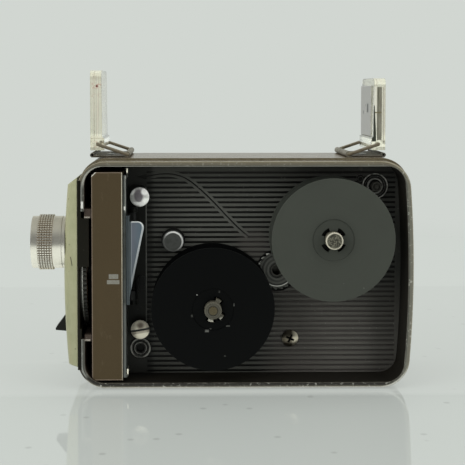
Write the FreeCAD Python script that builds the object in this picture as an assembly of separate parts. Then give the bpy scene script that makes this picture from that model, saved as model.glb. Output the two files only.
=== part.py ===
import FreeCAD, Part
import math
import os

# Spring-wound movie camera for 8 mm spool film, seen open on its film side.
# Millimetres. +X runs from the lens to the rear, +Z up, and the open film side faces -Y.
# The origin is the centre of the tripod socket's mouth, in the flat base.

Vec = FreeCAD.Vector

# Film spools: the case and the gate are built round them
SPOOL_RADIUS = 26.2
SPOOL_WIDTH = 16.74
SPOOL_NEAR_GAP = 0.3
SPOOL_FLOOR_GAP = 0.96
SPOOL_SPACING = 51.0
SPOOL_RISE = 29.3
SPOOL_FRONT_ROOM = 2.3
SPOOL_REAR_ROOM = 5.65
SPOOL_BOTTOM_ROOM = 5.15
SPOOL_TOP_ROOM = 5.1
TAKEUP_X = -13.9
SUPPLY_X = TAKEUP_X + SPOOL_SPACING

# Gaps between pieces
FIT_GAP = 0.05
SMALL_GAP = 0.15
MOVING_GAP = 0.3

# Widths in front of the spools, from the side plate to the front wall
SIDE_PLATE_WIDTH = 8.2
APERTURE_THICKNESS = 1.4
HOUSING_WIDTH = 12.9
HOUSING_FRONT_GAP = 3.1
SIDE_PLATE_RIGHT_X = TAKEUP_X - SPOOL_RADIUS - SPOOL_FRONT_ROOM
SIDE_PLATE_LEFT_X = SIDE_PLATE_RIGHT_X - SIDE_PLATE_WIDTH
APERTURE_FACE_X = SIDE_PLATE_LEFT_X - SMALL_GAP
HOUSING_RIGHT_X = APERTURE_FACE_X - APERTURE_THICKNESS
HOUSING_LEFT_X = HOUSING_RIGHT_X - HOUSING_WIDTH

# Depths behind the rim: film chamber, floor and mechanism plates
RIM_Y = -30.0
FLOOR_THICKNESS = 1.2
PLATE_THICKNESS = 1.5
PLATE_GAP = 27.3
CASE_BOSS_HEIGHT = 5.9
CHAMBER_DEPTH = SPOOL_NEAR_GAP + SPOOL_WIDTH + SPOOL_FLOOR_GAP
FLOOR_Y = RIM_Y + CHAMBER_DEPTH
FLOOR_BACK_Y = FLOOR_Y + FLOOR_THICKNESS
FRONT_PLATE_Y = FLOOR_BACK_Y
TRAIN_Y = FRONT_PLATE_Y + PLATE_THICKNESS
BACK_PLATE_Y = TRAIN_Y + PLATE_GAP
BACK_PLATE_END_Y = BACK_PLATE_Y + PLATE_THICKNESS

# Case: a bowed, round-cornered box, open on the film side
LIP_DEPTH = 10.0
CASE_STEP = 0.85
RIM = 2.1
FRONT_WALL = 2.9
BACK_WALL = 2.1
LEDGE_REACH = 2.9
LEDGE_THICKNESS = 2.9
LEDGE_FOOT = 1.8
LEDGE_NEAR_GAP = 1.0
LEDGE_FLOOR_GAP = 0.5
CORNER_RADIUS = 12.0
INSIDE_CORNER_RADIUS = 8.0
BOW_RADIUS = 480.0
BACK_ROUND = 4.0
BACK_INSIDE_Y = BACK_PLATE_END_Y + CASE_BOSS_HEIGHT
BACK_Y = BACK_INSIDE_Y + BACK_WALL
FRONT_INSIDE_X = HOUSING_LEFT_X - HOUSING_FRONT_GAP
FRONT_X = FRONT_INSIDE_X - FRONT_WALL
REAR_X = SUPPLY_X + SPOOL_RADIUS + SPOOL_REAR_ROOM + RIM
LIP_BOTTOM_Z = CASE_STEP
INSIDE_BOTTOM_Z = LIP_BOTTOM_Z + RIM
TAKEUP_Z = INSIDE_BOTTOM_Z + SPOOL_BOTTOM_ROOM + SPOOL_RADIUS
SUPPLY_Z = TAKEUP_Z + SPOOL_RISE
INSIDE_TOP_Z = SUPPLY_Z + SPOOL_RADIUS + SPOOL_TOP_ROOM
LIP_TOP_Z = INSIDE_TOP_Z + RIM
CASE_TOP_Z = LIP_TOP_Z + CASE_STEP
BODY_STEP_Y = RIM_Y + LIP_DEPTH

# Small catch on the rim for the side cover
CATCH_INSET_X = 22.45
CATCH_RADIUS = 0.7
CATCH_LENGTH = 1.5
CATCH_INSET = 1.8
CATCH_X = REAR_X - CATCH_INSET_X

# Mainspring's arbor, and the heights that follow from it
ARBOR_X = TAKEUP_X + 28.5
ARBOR_Z = TAKEUP_Z + 14.0
TRAIN_RISE = 13.5
LENS_Z = ARBOR_Z + TRAIN_RISE

# Film floor: the ribbed plate between the film chamber and the mechanism
GROOVE_DEPTH = 0.4
GROOVE_TOP_WIDTH = 1.05
GROOVE_BOTTOM_WIDTH = 0.45
GROOVE_PITCH = 2.18
FIRST_GROOVE_DROP = 3.75
RIB_END_GAP = 2.7
RIB_EDGE_GAP = 0.3
RIB_START_GAP = 0.1
RIB_START_X = SIDE_PLATE_RIGHT_X + RIB_START_GAP
PATH_STEPS = [
    (-0.5, -5.5), (3.9, -4.6), (10.9, -4.4), (17.1, -6.4), (21.4, -9.5), (27.6, -15.2), (44.3, -31.8),
]
PATH_SAMPLES = 28
PATH_POINTS = [(RIB_START_X + x, INSIDE_TOP_Z + z) for x, z in PATH_STEPS]
PATH_MARK_WIDTH = 0.6
PATH_MARK_DEPTH = 0.35
PATH_BAND_WIDTH = 2.6
PATH_ARROW_LENGTH = 3.8
PATH_ARROW_WIDTH = 2.6

# Mechanism plates and pillars
PLATE_CORNER = 8.0
PLATE_GATE_GAP = 3.65
PLATE_REAR_GAP = 4.95
PLATE_BOTTOM_GAP = 5.05
PLATE_TOP_GAP = 3.9
PILLAR_RADIUS = 2.2
CASE_BOSS_RADIUS = 3.2
PLATE_LEFT_X = HOUSING_RIGHT_X + PLATE_GATE_GAP
PLATE_RIGHT_X = REAR_X - RIM - PLATE_REAR_GAP
PLATE_BOTTOM_Z = INSIDE_BOTTOM_Z + PLATE_BOTTOM_GAP
PLATE_TOP_Z = INSIDE_TOP_Z - PLATE_TOP_GAP
PILLAR_PLACES = [
    (PLATE_LEFT_X + 6.5, PLATE_BOTTOM_Z + 5.0),
    (PLATE_RIGHT_X - 6.0, PLATE_BOTTOM_Z + 6.0),
    (PLATE_RIGHT_X - 24.0, PLATE_TOP_Z - 5.0),
    (PLATE_LEFT_X + 6.5, PLATE_TOP_Z - 4.5),
]

# Front panel and the black spacer behind it
PANEL_THICKNESS = 5.7
PANEL_SKIN = 1.6
PANEL_BOTTOM_GAP = 6.95
PANEL_TOP_GAP = 4.6
PANEL_SLANT = 3.1
PANEL_BEVEL = 1.3
PANEL_EDGE_ROUND = 2.2
PANEL_NEAR_GAP = 0.5
PANEL_FAR_GAP = 3.5
SPACER_THICKNESS = 1.6
SPACER_DROP = 1.3
SPACER_NEAR_GAP = 0.3
SPACER_LIGHT_RADIUS = 3.4
PANEL_NEAR_Y = RIM_Y + PANEL_NEAR_GAP
PANEL_FAR_Y = BACK_Y - PANEL_FAR_GAP
PANEL_BOTTOM_Z = INSIDE_BOTTOM_Z + PANEL_BOTTOM_GAP
PANEL_TOP_Z = INSIDE_TOP_Z - PANEL_TOP_GAP
SPACER_BOTTOM_Z = PANEL_BOTTOM_Z - SPACER_DROP
SPACER_TOP_Z = PANEL_TOP_Z - SPACER_DROP
SPACER_BACK_X = FRONT_X + SPACER_THICKNESS
PANEL_BACK_X = FRONT_X
PANEL_FACE_X = PANEL_BACK_X - PANEL_THICKNESS

# Lens
LENS_DEPTH = 11.6
RING_RADIUS = 11.15
RING_LENGTH = 12.9
RING_GAP = 0.1
RING_NOSE = 2.2
RING_WALL = 2.0
KNURL_HEIGHT = 0.7
KNURL_FRONT_INSET = 2.75
KNURL_BACK_INSET = 3.8
KNURL_BANDS = 6
KNURL_TEETH = 66
KNURL_GROOVE = 0.36
LENS_WINDOW_RADIUS = 7.4
COLLAR_DROP = 0.15
COLLAR_PROUD = 1.1
COLLAR_SUNK = 0.25
MOUNT_BORE = 6.6
MOUNT_SHOULDER = 0.9
MOUNT_TAIL_WALL = 1.4
MOUNT_NUT = 1.4
NUT_PAD_HEIGHT = 0.65
MOUNT_NUT_WALL = 1.3
SLEEVE_INSET = 3.05
FRONT_ELEMENT_INSET = 2.6
FRONT_ELEMENT_THICKNESS = 1.6
FRONT_ELEMENT_DOME = 1.1
REAR_ELEMENT_INSET = 0.3
REAR_ELEMENT_THICKNESS = 1.5
REAR_ELEMENT_DOME = 0.6
LENS_Y = RIM_Y + LENS_DEPTH
COLLAR_FRONT_X = PANEL_FACE_X - COLLAR_PROUD
COLLAR_BACK_X = PANEL_FACE_X + COLLAR_SUNK
RING_BACK_X = COLLAR_FRONT_X - RING_GAP
RING_FRONT_X = RING_BACK_X - RING_LENGTH
KNURL_RADIUS = RING_RADIUS + KNURL_HEIGHT
KNURL_FRONT_X = RING_FRONT_X + KNURL_FRONT_INSET
KNURL_BACK_X = RING_BACK_X - KNURL_BACK_INSET
SLEEVE_RADIUS = RING_RADIUS - RING_WALL - FIT_GAP
SLEEVE_FRONT_X = RING_FRONT_X + SLEEVE_INSET
COLLAR_RADIUS = RING_RADIUS - COLLAR_DROP
MOUNT_SHOULDER_BORE = MOUNT_BORE - MOUNT_SHOULDER
MOUNT_TAIL_RADIUS = MOUNT_BORE + MOUNT_TAIL_WALL
MOUNT_NUT_RADIUS = MOUNT_TAIL_RADIUS + MOUNT_NUT_WALL
FRONT_ELEMENT_X = SLEEVE_FRONT_X + FRONT_ELEMENT_INSET
REAR_ELEMENT_X = COLLAR_BACK_X + REAR_ELEMENT_INSET

# Exposure wheel with its ring of stop holes
WHEEL_RADIUS = 25.0
WHEEL_RIM_GAP = 2.0
WHEEL_RIM_WIDTH = 2.4
WHEEL_THICKNESS = 2.7
WHEEL_SMOOTH = 1.1
WHEEL_WEB = 1.0
WHEEL_NOTCHES = 76
WHEEL_NOTCH_DEPTH = 0.55
WHEEL_HUB_RADIUS = 4.5
WHEEL_PIN_RADIUS = 1.5
WHEEL_STOP_STEP = 22.0
WHEEL_STOP_RADII = [2.0, 1.6, 1.2, 0.9, 0.65]
WHEEL_SUNK = 0.6
WHEEL_FRONT_GAP = 0.2
WHEEL_VISIBLE_RISE = 4.1
WHEEL_VISIBLE_DROP = 22.1
GUARD_THICKNESS = 0.7
GUARD_REACH = 3.2
WINDOW_TOP_ROOM = 2.7
WINDOW_BOTTOM_ROOM = 1.5
WINDOW_FAR_ROOM = 0.6
WHEEL_Y = RIM_Y + WHEEL_RIM_GAP + WHEEL_RADIUS
WHEEL_Z = LENS_Z - TRAIN_RISE
WHEEL_VISIBLE_TOP_Z = WHEEL_Z + WHEEL_VISIBLE_RISE
WHEEL_VISIBLE_BOTTOM_Z = WHEEL_Z - WHEEL_VISIBLE_DROP
WHEEL_FRONT_X = SPACER_BACK_X - WHEEL_SUNK
WHEEL_BACK_X = WHEEL_FRONT_X + WHEEL_THICKNESS
WINDOW_BOTTOM_Z = WHEEL_Z - WHEEL_RADIUS - WINDOW_BOTTOM_ROOM
WINDOW_TOP_Z = WHEEL_Z + WHEEL_RADIUS + WINDOW_TOP_ROOM
WINDOW_FAR_Y = WHEEL_Y + WHEEL_RADIUS + WINDOW_FAR_ROOM
LEDGE_FAR_Y = FLOOR_Y - LEDGE_FLOOR_GAP

# Run lever on the front, its link and return spring
LEVER_DEPTH = 14.0
LEVER_WIDTH = 7.0
LEVER_RISE = 13.4
LEVER_HEIGHT = 6.7
LEVER_REACH = 4.5
LEVER_TRAVEL = 2.5
LEVER_STEM_WIDTH = 3.0
LEVER_STEM_HEIGHT = 4.0
LINK_THICKNESS = 1.0
LINK_WIDTH = 5.0
LINK_DROP = 7.1
LINK_FACE_GAP = 3.35
LINK_ROD_RADIUS = 1.2
LINK_ROD_SETBACK = 11.0
LINK_END_INSET = 3.55
LEVER_SPRING_THICKNESS = 0.3
LEVER_Y = RIM_Y + LEVER_DEPTH
LEVER_BOTTOM_Z = PANEL_BOTTOM_Z + LEVER_RISE
LINK_ROD_Y = LEVER_Y + LINK_ROD_SETBACK
LINK_BOTTOM_Z = LEVER_BOTTOM_Z - LINK_DROP
LINK_FRONT_X = PANEL_FACE_X + LINK_FACE_GAP
LINK_END_X = HOUSING_LEFT_X + LINK_END_INSET

# Film gate
HOUSING_BOTTOM_GAP = 1.05
HOUSING_TOP_GAP = 2.5
HOUSING_NEAR_GAP = 1.0
HOUSING_WALL = 1.3
HOUSING_CHAMFER = 1.5
HOUSING_FOOT_ROUND = 1.7
HOUSING_FOOT = 3.8
APERTURE_TOP_INSET = 1.4
APERTURE_BOTTOM_INSET = 1.0
APERTURE_NEAR_INSET = 0.8
APERTURE_WIDTH = 4.9
APERTURE_HEIGHT = 3.6
LIP_RADIUS = 0.7
GATE_PIN_RADIUS = 0.35
GATE_PIN_HEIGHT = 3.6
GATE_PIN_TOP_GAP = 0.6
FILM_GAP = 0.25
PRESSURE_THICKNESS = 1.3
PRESSURE_HEIGHT = 37.9
PRESSURE_DROP = 25.8
PRESSURE_NEAR_INSET = 0.4
FLAG_THICKNESS = 0.6
FLAG_TOP_INSET = 2.4
FLAG_BOTTOM_INSET = 3.1
FLAG_REACH = 6.7
FLAG_CORNER_RADIUS = 2.6
HINGE_FLOOR_GAP = 2.9
HINGE_ROD_RADIUS = 0.8
HINGE_SETBACK = 1.2
KNUCKLE_RADIUS = 1.45
KNUCKLE_LENGTH = 4.0
HINGE_LUG = 2.0
LEAF_THICKNESS = 0.3
LEAF_HEIGHT = 6.0
LEAF_REACH = 6.0
LEAF_RISE = 4.0
LEAF_SETBACK = 1.9
CLAW_SLOT_WIDTH = 1.4
CLAW_FLOOR_GAP = 3.1
HINGE_LEAF_GAP = 1.0
HOUSING_BOTTOM_Z = INSIDE_BOTTOM_Z + HOUSING_BOTTOM_GAP
HOUSING_TOP_Z = INSIDE_TOP_Z - HOUSING_TOP_GAP
HOUSING_NEAR_Y = RIM_Y + HOUSING_NEAR_GAP
APERTURE_BOTTOM_Z = HOUSING_BOTTOM_Z + APERTURE_BOTTOM_INSET
APERTURE_TOP_Z = HOUSING_TOP_Z - APERTURE_TOP_INSET
APERTURE_NEAR_Y = HOUSING_NEAR_Y + APERTURE_NEAR_INSET
APERTURE_FAR_Y = FLOOR_Y
HINGE_Y = FLOOR_Y - HINGE_FLOOR_GAP
PRESSURE_FACE_X = APERTURE_FACE_X + FILM_GAP
PRESSURE_BACK_X = PRESSURE_FACE_X + PRESSURE_THICKNESS
PRESSURE_NEAR_Y = APERTURE_NEAR_Y + PRESSURE_NEAR_INSET
PRESSURE_FAR_Y = HINGE_Y - HINGE_LEAF_GAP
PRESSURE_BOTTOM_Z = LENS_Z - PRESSURE_DROP
PRESSURE_TOP_Z = PRESSURE_BOTTOM_Z + PRESSURE_HEIGHT
FLAG_TOP_Z = PRESSURE_TOP_Z - FLAG_TOP_INSET
FLAG_BOTTOM_Z = PRESSURE_BOTTOM_Z + FLAG_BOTTOM_INSET
HINGE_X = PRESSURE_BACK_X + HINGE_SETBACK
LEAF_X = HINGE_X + LEAF_SETBACK
LEAF_BOTTOM_Z = PRESSURE_BOTTOM_Z + LEAF_RISE
CLAW_SLOT_Y = FLOOR_Y - CLAW_FLOOR_GAP

# Black side plate with its stud and screw
SIDE_PLATE_THICKNESS = 1.0
SIDE_PLATE_CORNER = 2.5
SIDE_PLATE_TOP_MARGIN = 4.9
SIDE_PLATE_BOTTOM_MARGIN = 3.9
STUD_INSET = 5.4
STUD_DROP = 11.3
STUD_HEAD_RADIUS = 4.15
STUD_SHANK_RADIUS = 2.6
STUD_SHANK = 5.0
STUD_HEAD = 0.9
STUD_DOME = 1.3
GATE_SCREW_RISE = 19.2
GATE_SCREW_RADIUS = 4.05
GATE_SCREW_SHANK = 3.2
GATE_SCREW_HEAD = 1.1
GATE_SCREW_DOME = 0.7
SCREW_SLOT_WIDTH = 0.65
SCREW_SLOT_DEPTH = 0.8
SCREW_SLOT_ANGLE = 9.5
SCREW_THREAD_RADIUS = 1.3
SCREW_THREAD_LENGTH = 2.2
STUD_X = SIDE_PLATE_LEFT_X + STUD_INSET
STUD_Z = HOUSING_TOP_Z - STUD_DROP
GATE_SCREW_Z = HOUSING_BOTTOM_Z + GATE_SCREW_RISE
SIDE_PLATE_BOTTOM_Z = GATE_SCREW_Z - SIDE_PLATE_BOTTOM_MARGIN
SIDE_PLATE_TOP_Z = STUD_Z + SIDE_PLATE_TOP_MARGIN
SIDE_PLATE_Y = FLOOR_Y - SIDE_PLATE_THICKNESS

# Bosses, screw and post on the film floor
EMPTY_BOSS_RISE = 11.25
BOSS_RADIUS = 4.8
BOSS_HEIGHT = 0.8
BOSS_COLLAR = 0.4
BOSS_COLLAR_RADIUS = 2.7
BOSS_GROOVE = 0.35
BOSS_GROOVE_RADIUS = 3.5
EMPTY_BOSS_HOLE = 1.9
FLOOR_SCREW_X = 20.3
FLOOR_SCREW_RISE = 15.35
FLOOR_SCREW_RADIUS = 3.65
FLOOR_SCREW_HEAD = 0.5
FLOOR_SCREW_DOME = 0.95
CROSS_SLOT_WIDTH = 0.8
CROSS_SLOT_LENGTH = 3.6
POST_RADIUS = 4.5
POST_HEIGHT = 7.0
POST_CHAMFER = 0.7
POST_BASE_RADIUS = 5.2
POST_BASE = 0.5
POST_SPOOL_GAP = 1.63
POST_ANGLE = 121.72
EMPTY_BOSS_X = STUD_X
EMPTY_BOSS_Z = INSIDE_BOTTOM_Z + EMPTY_BOSS_RISE
FLOOR_SCREW_Z = INSIDE_BOTTOM_Z + FLOOR_SCREW_RISE

# Spools and their spindles
FLANGE_THICKNESS = 0.36
SPOOL_CORE_RADIUS = 9.2
SPOOL_DISH_RADIUS = 8.9
SPOOL_DISH_DEPTH = 0.35
SPOOL_BORE = 3.9
SPOOL_NOTCH_RADIUS = 5.5
SPOOL_NOTCH_DEPTH = 2.0
SPOOL_NOTCH_ANGLE = 46.0
SPINDLE_PLAY = 0.2
SPINDLE_PROUD = 3.2
SPINDLE_FLANGE_RADIUS = 6.0
SPINDLE_SHAFT_RADIUS = 1.5
SPINDLE_TAIL = 3.0
BUSH_RADIUS = 3.1
BUSH_FLANGE_RADIUS = 4.4
BUSH_FLANGE = 0.25
LUG_REACH = 5.1
LUG_ANGLE = 26.0
LUG_ANGLES = [60.0, 258.0, 319.0]
LUG_LENGTH = 3.0
RIVET_RADIUS = 1.8
RIVET_PROUD = 0.5
SPINDLE_RADIUS = SPOOL_BORE - SPINDLE_PLAY
SPOOL_NEAR_Y = RIM_Y + SPOOL_NEAR_GAP
SPOOL_FAR_Y = SPOOL_NEAR_Y + SPOOL_WIDTH
SPINDLE_TOP_Y = SPOOL_NEAR_Y - SPINDLE_PROUD
BUSH_TOP_Y = FLOOR_Y - BUSH_FLANGE
SPINDLE_FLANGE_Y = SPOOL_FAR_Y + FIT_GAP

# Gear train
MODULE = 0.6
WHEEL_MODULE = 0.5
TOOTH_SHARE = 0.42
ADDENDUM = 0.9
DEDENDUM = 1.2
BARREL_TEETH = 76
TAKEUP_TEETH = 30
SECOND_PINION_TEETH = 12
SECOND_WHEEL_TEETH = 60
CROWN_PINION_TEETH = 12
CROWN_TEETH = 40
SHUTTER_TEETH = 10
GOVERNOR_WHEEL_TEETH = 50
GOVERNOR_TEETH = 10
CROWN_PITCH_RADIUS = 11.0
CROWN_FACE = 1.6
CROWN_TOOTH_WIDTH = 0.6
CROWN_DISC = 1.2
PINION_SHAFT = 0.9
WHEEL_WIDTH = 1.2
BARREL_RIM_WIDTH = 1.5
BARREL_REACH = 11.4
BARREL_RADIUS = 21.5
BARREL_WALL = 1.0
BARREL_SETBACK = 12.1
ARBOR_RADIUS = 3.0
ARBOR_TIP_RADIUS = 2.8
ARBOR_TIP_DROP = 0.5
ARBOR_HOLE_RADIUS = 2.2
ARBOR_HOLE_DEPTH = 6.0
ARBOR_CORE_RADIUS = 4.0
MAINSPRING_THICKNESS = 0.35
MAINSPRING_TURNS = 9
MAINSPRING_INSIDE = 5.0
SHUTTER_SETBACK = 7.3
GOVERNOR_ANGLE = 233.0
GOVERNOR_RADIUS = 6.8
GOVERNOR_LENGTH = 7.0
GOVERNOR_WHEEL_WIDTH = 0.9
BARREL_END_Y = TRAIN_Y + BARREL_SETBACK
BARREL_GEAR_Y = BARREL_END_Y - BARREL_RIM_WIDTH
BARREL_START_Y = BARREL_END_Y - BARREL_REACH
SHUTTER_Y = TRAIN_Y + SHUTTER_SETBACK
SHUTTER_Z = LENS_Z
CROWN_ADDENDUM = 0.45
CROWN_DEDENDUM = 0.65
CROWN_PITCH_Y = SHUTTER_Y + CROWN_PITCH_RADIUS * SHUTTER_TEETH / CROWN_TEETH
CROWN_TIP_Y = CROWN_PITCH_Y - CROWN_ADDENDUM
CROWN_DISC_Y = CROWN_PITCH_Y + CROWN_DEDENDUM
CROWN_DISC_END_Y = CROWN_DISC_Y + CROWN_DISC
SECOND_WHEEL_Y = CROWN_DISC_END_Y + 1.0
GOVERNOR_WHEEL_Y = SECOND_WHEEL_Y + WHEEL_WIDTH + 0.7

# Ratchet wheel in the film floor, with its click
RATCHET_TEETH = 20
RATCHET_RADIUS = 8.6
RATCHET_TOOTH = 1.0
RATCHET_PROUD = 0.4
RATCHET_THICKNESS = 1.5
RATCHET_HUB_RADIUS = 5.9
RATCHET_HUB = 0.3
RATCHET_RECESS_RADIUS = 3.4
RATCHET_ROOM = 0.6
CLICK_ANGLE = 28.0
CLICK_STANDOFF = 4.8
CLICK_PIVOT_RADIUS = 1.0
CLICK_HUB_RADIUS = 1.9
CLICK_WIDTH = 1.3
CLICK_THICKNESS = 0.9
CLICK_NOSE_ANGLE = 24.0
CLICK_DROP = 7.0
RATCHET_OPENING = RATCHET_RADIUS + RATCHET_ROOM
RATCHET_NEAR_Y = FLOOR_Y - RATCHET_PROUD
CLICK_DISTANCE = RATCHET_RADIUS + CLICK_STANDOFF

# Shutter and claw
SHUTTER_RADIUS = 19.5
SHUTTER_THICKNESS = 0.4
SHUTTER_INSET = 7.05
SHUTTER_OPEN_ANGLE = 165.0
SHUTTER_HUB_RADIUS = 3.2
SHUTTER_SHAFT_RADIUS = 1.2
CAM_RADIUS = 3.4
CAM_OFFSET = 1.9
CAM_THICKNESS = 1.6
CAM_SETBACK = 3.0
BRIDGE_WALL = 1.5
BRIDGE_HALF_HEIGHT = 8.0
BRIDGE_FRONT_INSET = 1.05
BRIDGE_NEAR_REACH = 4.0
BRIDGE_REAR_GAP = 3.45
BRIDGE_OVERLAP = 8.5
CLAW_THICKNESS = 1.1
CLAW_FRAME = 2.0
CLAW_TRAVEL = CAM_OFFSET
CLAW_SETBACK = 0.25
CLAW_DROP = 7.6
CLAW_TOOTH_HEIGHT = 0.9
CLAW_TOOTH_PROUD = 0.2
CLAW_TOOTH_WIDTH = 0.9
STOP_OVERLAP = 4.7
SHUTTER_X = HOUSING_LEFT_X + SHUTTER_INSET
CAM_X = SHUTTER_X + CAM_SETBACK
BRIDGE_FRONT_X = HOUSING_LEFT_X + BRIDGE_FRONT_INSET
BRIDGE_NEAR_Y = SHUTTER_Y - BRIDGE_NEAR_REACH
BRIDGE_REAR_X = HOUSING_RIGHT_X + BRIDGE_REAR_GAP
BRIDGE_END_X = PLATE_LEFT_X + BRIDGE_OVERLAP
CLAW_X = CAM_X + CLAW_SETBACK
CLAW_TOOTH_Z = LENS_Z - CLAW_DROP
HALF_CLAW_SLOT = CLAW_TOOTH_HEIGHT / 2 + CLAW_TRAVEL + MOVING_GAP
LINK_FINGER_TOP_Z = SHUTTER_Z - SHUTTER_RADIUS + STOP_OVERLAP

# Footage arm and its dial
FOOTAGE_REAR_INSET = 11.75
FOOTAGE_TOP_INSET = 9.7
FOOTAGE_HUB_RADIUS = 2.1
FOOTAGE_HUB_REACH = 5.2
FOOTAGE_ARM_THICKNESS = 0.9
FOOTAGE_ARM_WIDTH = 2.0
FOOTAGE_RECESS_RADIUS = 1.5
FOOTAGE_RECESS = 1.2
FOOTAGE_SHAFT_DROP = 0.4
FOOTAGE_SHOE_RADIUS = 1.0
FOOTAGE_SHOE_GAP = 0.7
FOOTAGE_SHAFT_RADIUS = 1.0
FOOTAGE_BUSH_RADIUS = 2.4
FOOTAGE_BOSS_RADIUS = 5.7
FOOTAGE_BOSS_HEIGHT = 0.6
FOOTAGE_GROOVE = 0.25
FOOTAGE_GROOVE_INSIDE = 3.5
FOOTAGE_GROOVE_OUTSIDE = 4.3
FOOTAGE_DIAL_RADIUS = 6.2
FOOTAGE_DIAL = 0.8
FOOTAGE_WINDOW_RADIUS = 2.3
FOOTAGE_WINDOW_OFFSET = 3.6
EAR_SPAN_X = 6.4
EAR_SPAN_Z = 3.1
EAR_RADIUS = 1.9
EAR_RIVET_RADIUS = 1.1
FOOTAGE_X = REAR_X - RIM - FOOTAGE_REAR_INSET
FOOTAGE_Z = INSIDE_TOP_Z - FOOTAGE_TOP_INSET
FOOTAGE_HUB_TOP_Y = FLOOR_Y - FOOTAGE_HUB_REACH
EAR_X = FOOTAGE_X - EAR_SPAN_X
EAR_Z = FOOTAGE_Z + EAR_SPAN_Z

# Winding key on the far side
KEY_HUB_RADIUS = 10.0
KEY_HUB = 2.2
KEY_EAR_HEIGHT = 4.2
KEY_EAR_THICKNESS = 2.0
KEY_EAR_WIDTH = 5.0
KEY_PIN_RADIUS = 0.9
KEY_HANDLE_THICKNESS = 2.4
KEY_HANDLE_WIDTH = 8.0
KEY_GRIP_WIDTH = 17.0
KEY_HANDLE_LENGTH = 25.0
KEY_SHAFT_RADIUS = 2.2
KEY_FACE_Y = BACK_Y + SMALL_GAP + KEY_HUB
KEY_PIN_Y = KEY_FACE_Y + KEY_EAR_HEIGHT / 2

# Folding finder
BRACKET_NEAR_INSET = 16.0
BRACKET_FAR_INSET = 3.7
BRACKET_PLATE = 0.8
CURL_RADIUS = 1.3
EDGE_CURL_RADIUS = 1.0
EDGE_CURL_BORE = 0.55
EDGE_CURL_SPAN = 15.2
BAIL_WIRE_RADIUS = 0.72
BAIL_SPAN = 12.85
BAIL_RISE = 4.34
BAIL_PIVOT_RISE = 1.35
BAIL_ARM_GAP = 0.25
BAIL_END = 4.6
FRONT_PIVOT_INSET = 20.45
REAR_PIVOT_INSET = 25.65
GLASS_END_INSET = 1.6
GLASS_OUTSIDE = 3.3
GLASS_INSIDE = 1.9
GLASS_FOOT_INSIDE = 2.75
GLASS_FOOT_DROP = 2.7
GLASS_FOOT_RISE = 3.1
FRONT_GLASS_HEIGHT = 34.7
REAR_GLASS_HEIGHT = 31.3
GLASS_CORNER = 3.0
MASK_THICKNESS = 0.4
MASK_NEAR_INSET = 6.0
MASK_FAR_INSET = 1.0
MASK_FOOT_GAP = 0.16
MASK_HEIGHT = 22.1
MASK_SLOT_WIDTH = 1.2
MASK_SLOT_HEIGHT = 3.9
MASK_SLOT_RISE = 12.1
MASK_SLOT_INSET = 20.4
BRACKET_NEAR_Y = RIM_Y + BRACKET_NEAR_INSET
BRACKET_FAR_Y = BACK_Y - BRACKET_FAR_INSET
BRACKET_TOP_Z = CASE_TOP_Z + BRACKET_PLATE
FRONT_PIVOT_X = FRONT_X + FRONT_PIVOT_INSET
REAR_PIVOT_X = REAR_X - REAR_PIVOT_INSET
PIVOT_Z = CASE_TOP_Z + BAIL_PIVOT_RISE
BAIL_END_Z = PIVOT_Z + BAIL_RISE
GLASS_NEAR_Y = BRACKET_NEAR_Y + GLASS_END_INSET
GLASS_FAR_Y = BRACKET_FAR_Y - GLASS_END_INSET
MASK_NEAR_Y = GLASS_NEAR_Y + MASK_NEAR_INSET
MASK_FAR_Y = GLASS_FAR_Y - MASK_FAR_INSET
MASK_BOTTOM_Z = BAIL_END_Z + GLASS_FOOT_RISE + MASK_FOOT_GAP
MASK_TOP_Z = MASK_BOTTOM_Z + MASK_HEIGHT
MASK_SLOT_Y = GLASS_NEAR_Y + MASK_SLOT_INSET
MASK_SLOT_Z = MASK_BOTTOM_Z + MASK_SLOT_RISE

# Tripod socket
SOCKET_BORE = 2.55
SOCKET_LENGTH = 7.0
SOCKET_BUSH_RADIUS = 4.6
SOCKET_BOSS_RADIUS = 7.0
SOCKET_BOSS_HEIGHT = 9.0


def box(x0, x1, y0, y1, z0, z1):
    """A block between two corners."""
    return Part.makeBox(x1 - x0, y1 - y0, z1 - z0, Vec(x0, y0, z0))


def rod_x(y, z, radius, x0, x1):
    return Part.makeCylinder(radius, x1 - x0, Vec(x0, y, z), Vec(1, 0, 0))


def rod_y(x, z, radius, y0, y1):
    return Part.makeCylinder(radius, y1 - y0, Vec(x, y0, z), Vec(0, 1, 0))


def rod_z(x, y, radius, z0, z1):
    return Part.makeCylinder(radius, z1 - z0, Vec(x, y, z0), Vec(0, 0, 1))


def ring_y(x, z, outside, inside, y0, y1):
    return rod_y(x, z, outside, y0, y1).cut(rod_y(x, z, inside, y0 - 1, y1 + 1))


def ring_x(y, z, outside, inside, x0, x1):
    return rod_x(y, z, outside, x0, x1).cut(rod_x(y, z, inside, x0 - 1, x1 + 1))


def prism_y(points, y0, y1):
    """A prism along Y whose outline is a list of (x, z) points."""
    corners = [Vec(x, y0, z) for x, z in points]
    wire = Part.makePolygon(corners + corners[:1])
    return Part.Face(wire).extrude(Vec(0, y1 - y0, 0))


def prism_x(points, x0, x1):
    """A prism along X whose outline is a list of (y, z) points."""
    corners = [Vec(x0, y, z) for y, z in points]
    wire = Part.makePolygon(corners + corners[:1])
    return Part.Face(wire).extrude(Vec(x1 - x0, 0, 0))


def join(shapes):
    """One clean solid from touching pieces."""
    return shapes[0].multiFuse(shapes[1:]).removeSplitter()


def polar(x, z, radius, degrees):
    """A point of the XZ plane, by its distance and angle from another."""
    angle = math.radians(degrees)
    return x + radius * math.cos(angle), z + radius * math.sin(angle)


def edges_along(shape, direction):
    """The straight edges that run along a direction."""
    found = []
    for edge in shape.Edges:
        if not isinstance(edge.Curve, Part.Line):
            continue
        run = edge.Vertexes[1].Point.sub(edge.Vertexes[0].Point)
        if run.cross(direction).Length < 1e-6:
            found.append(edge)
    return found


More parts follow.
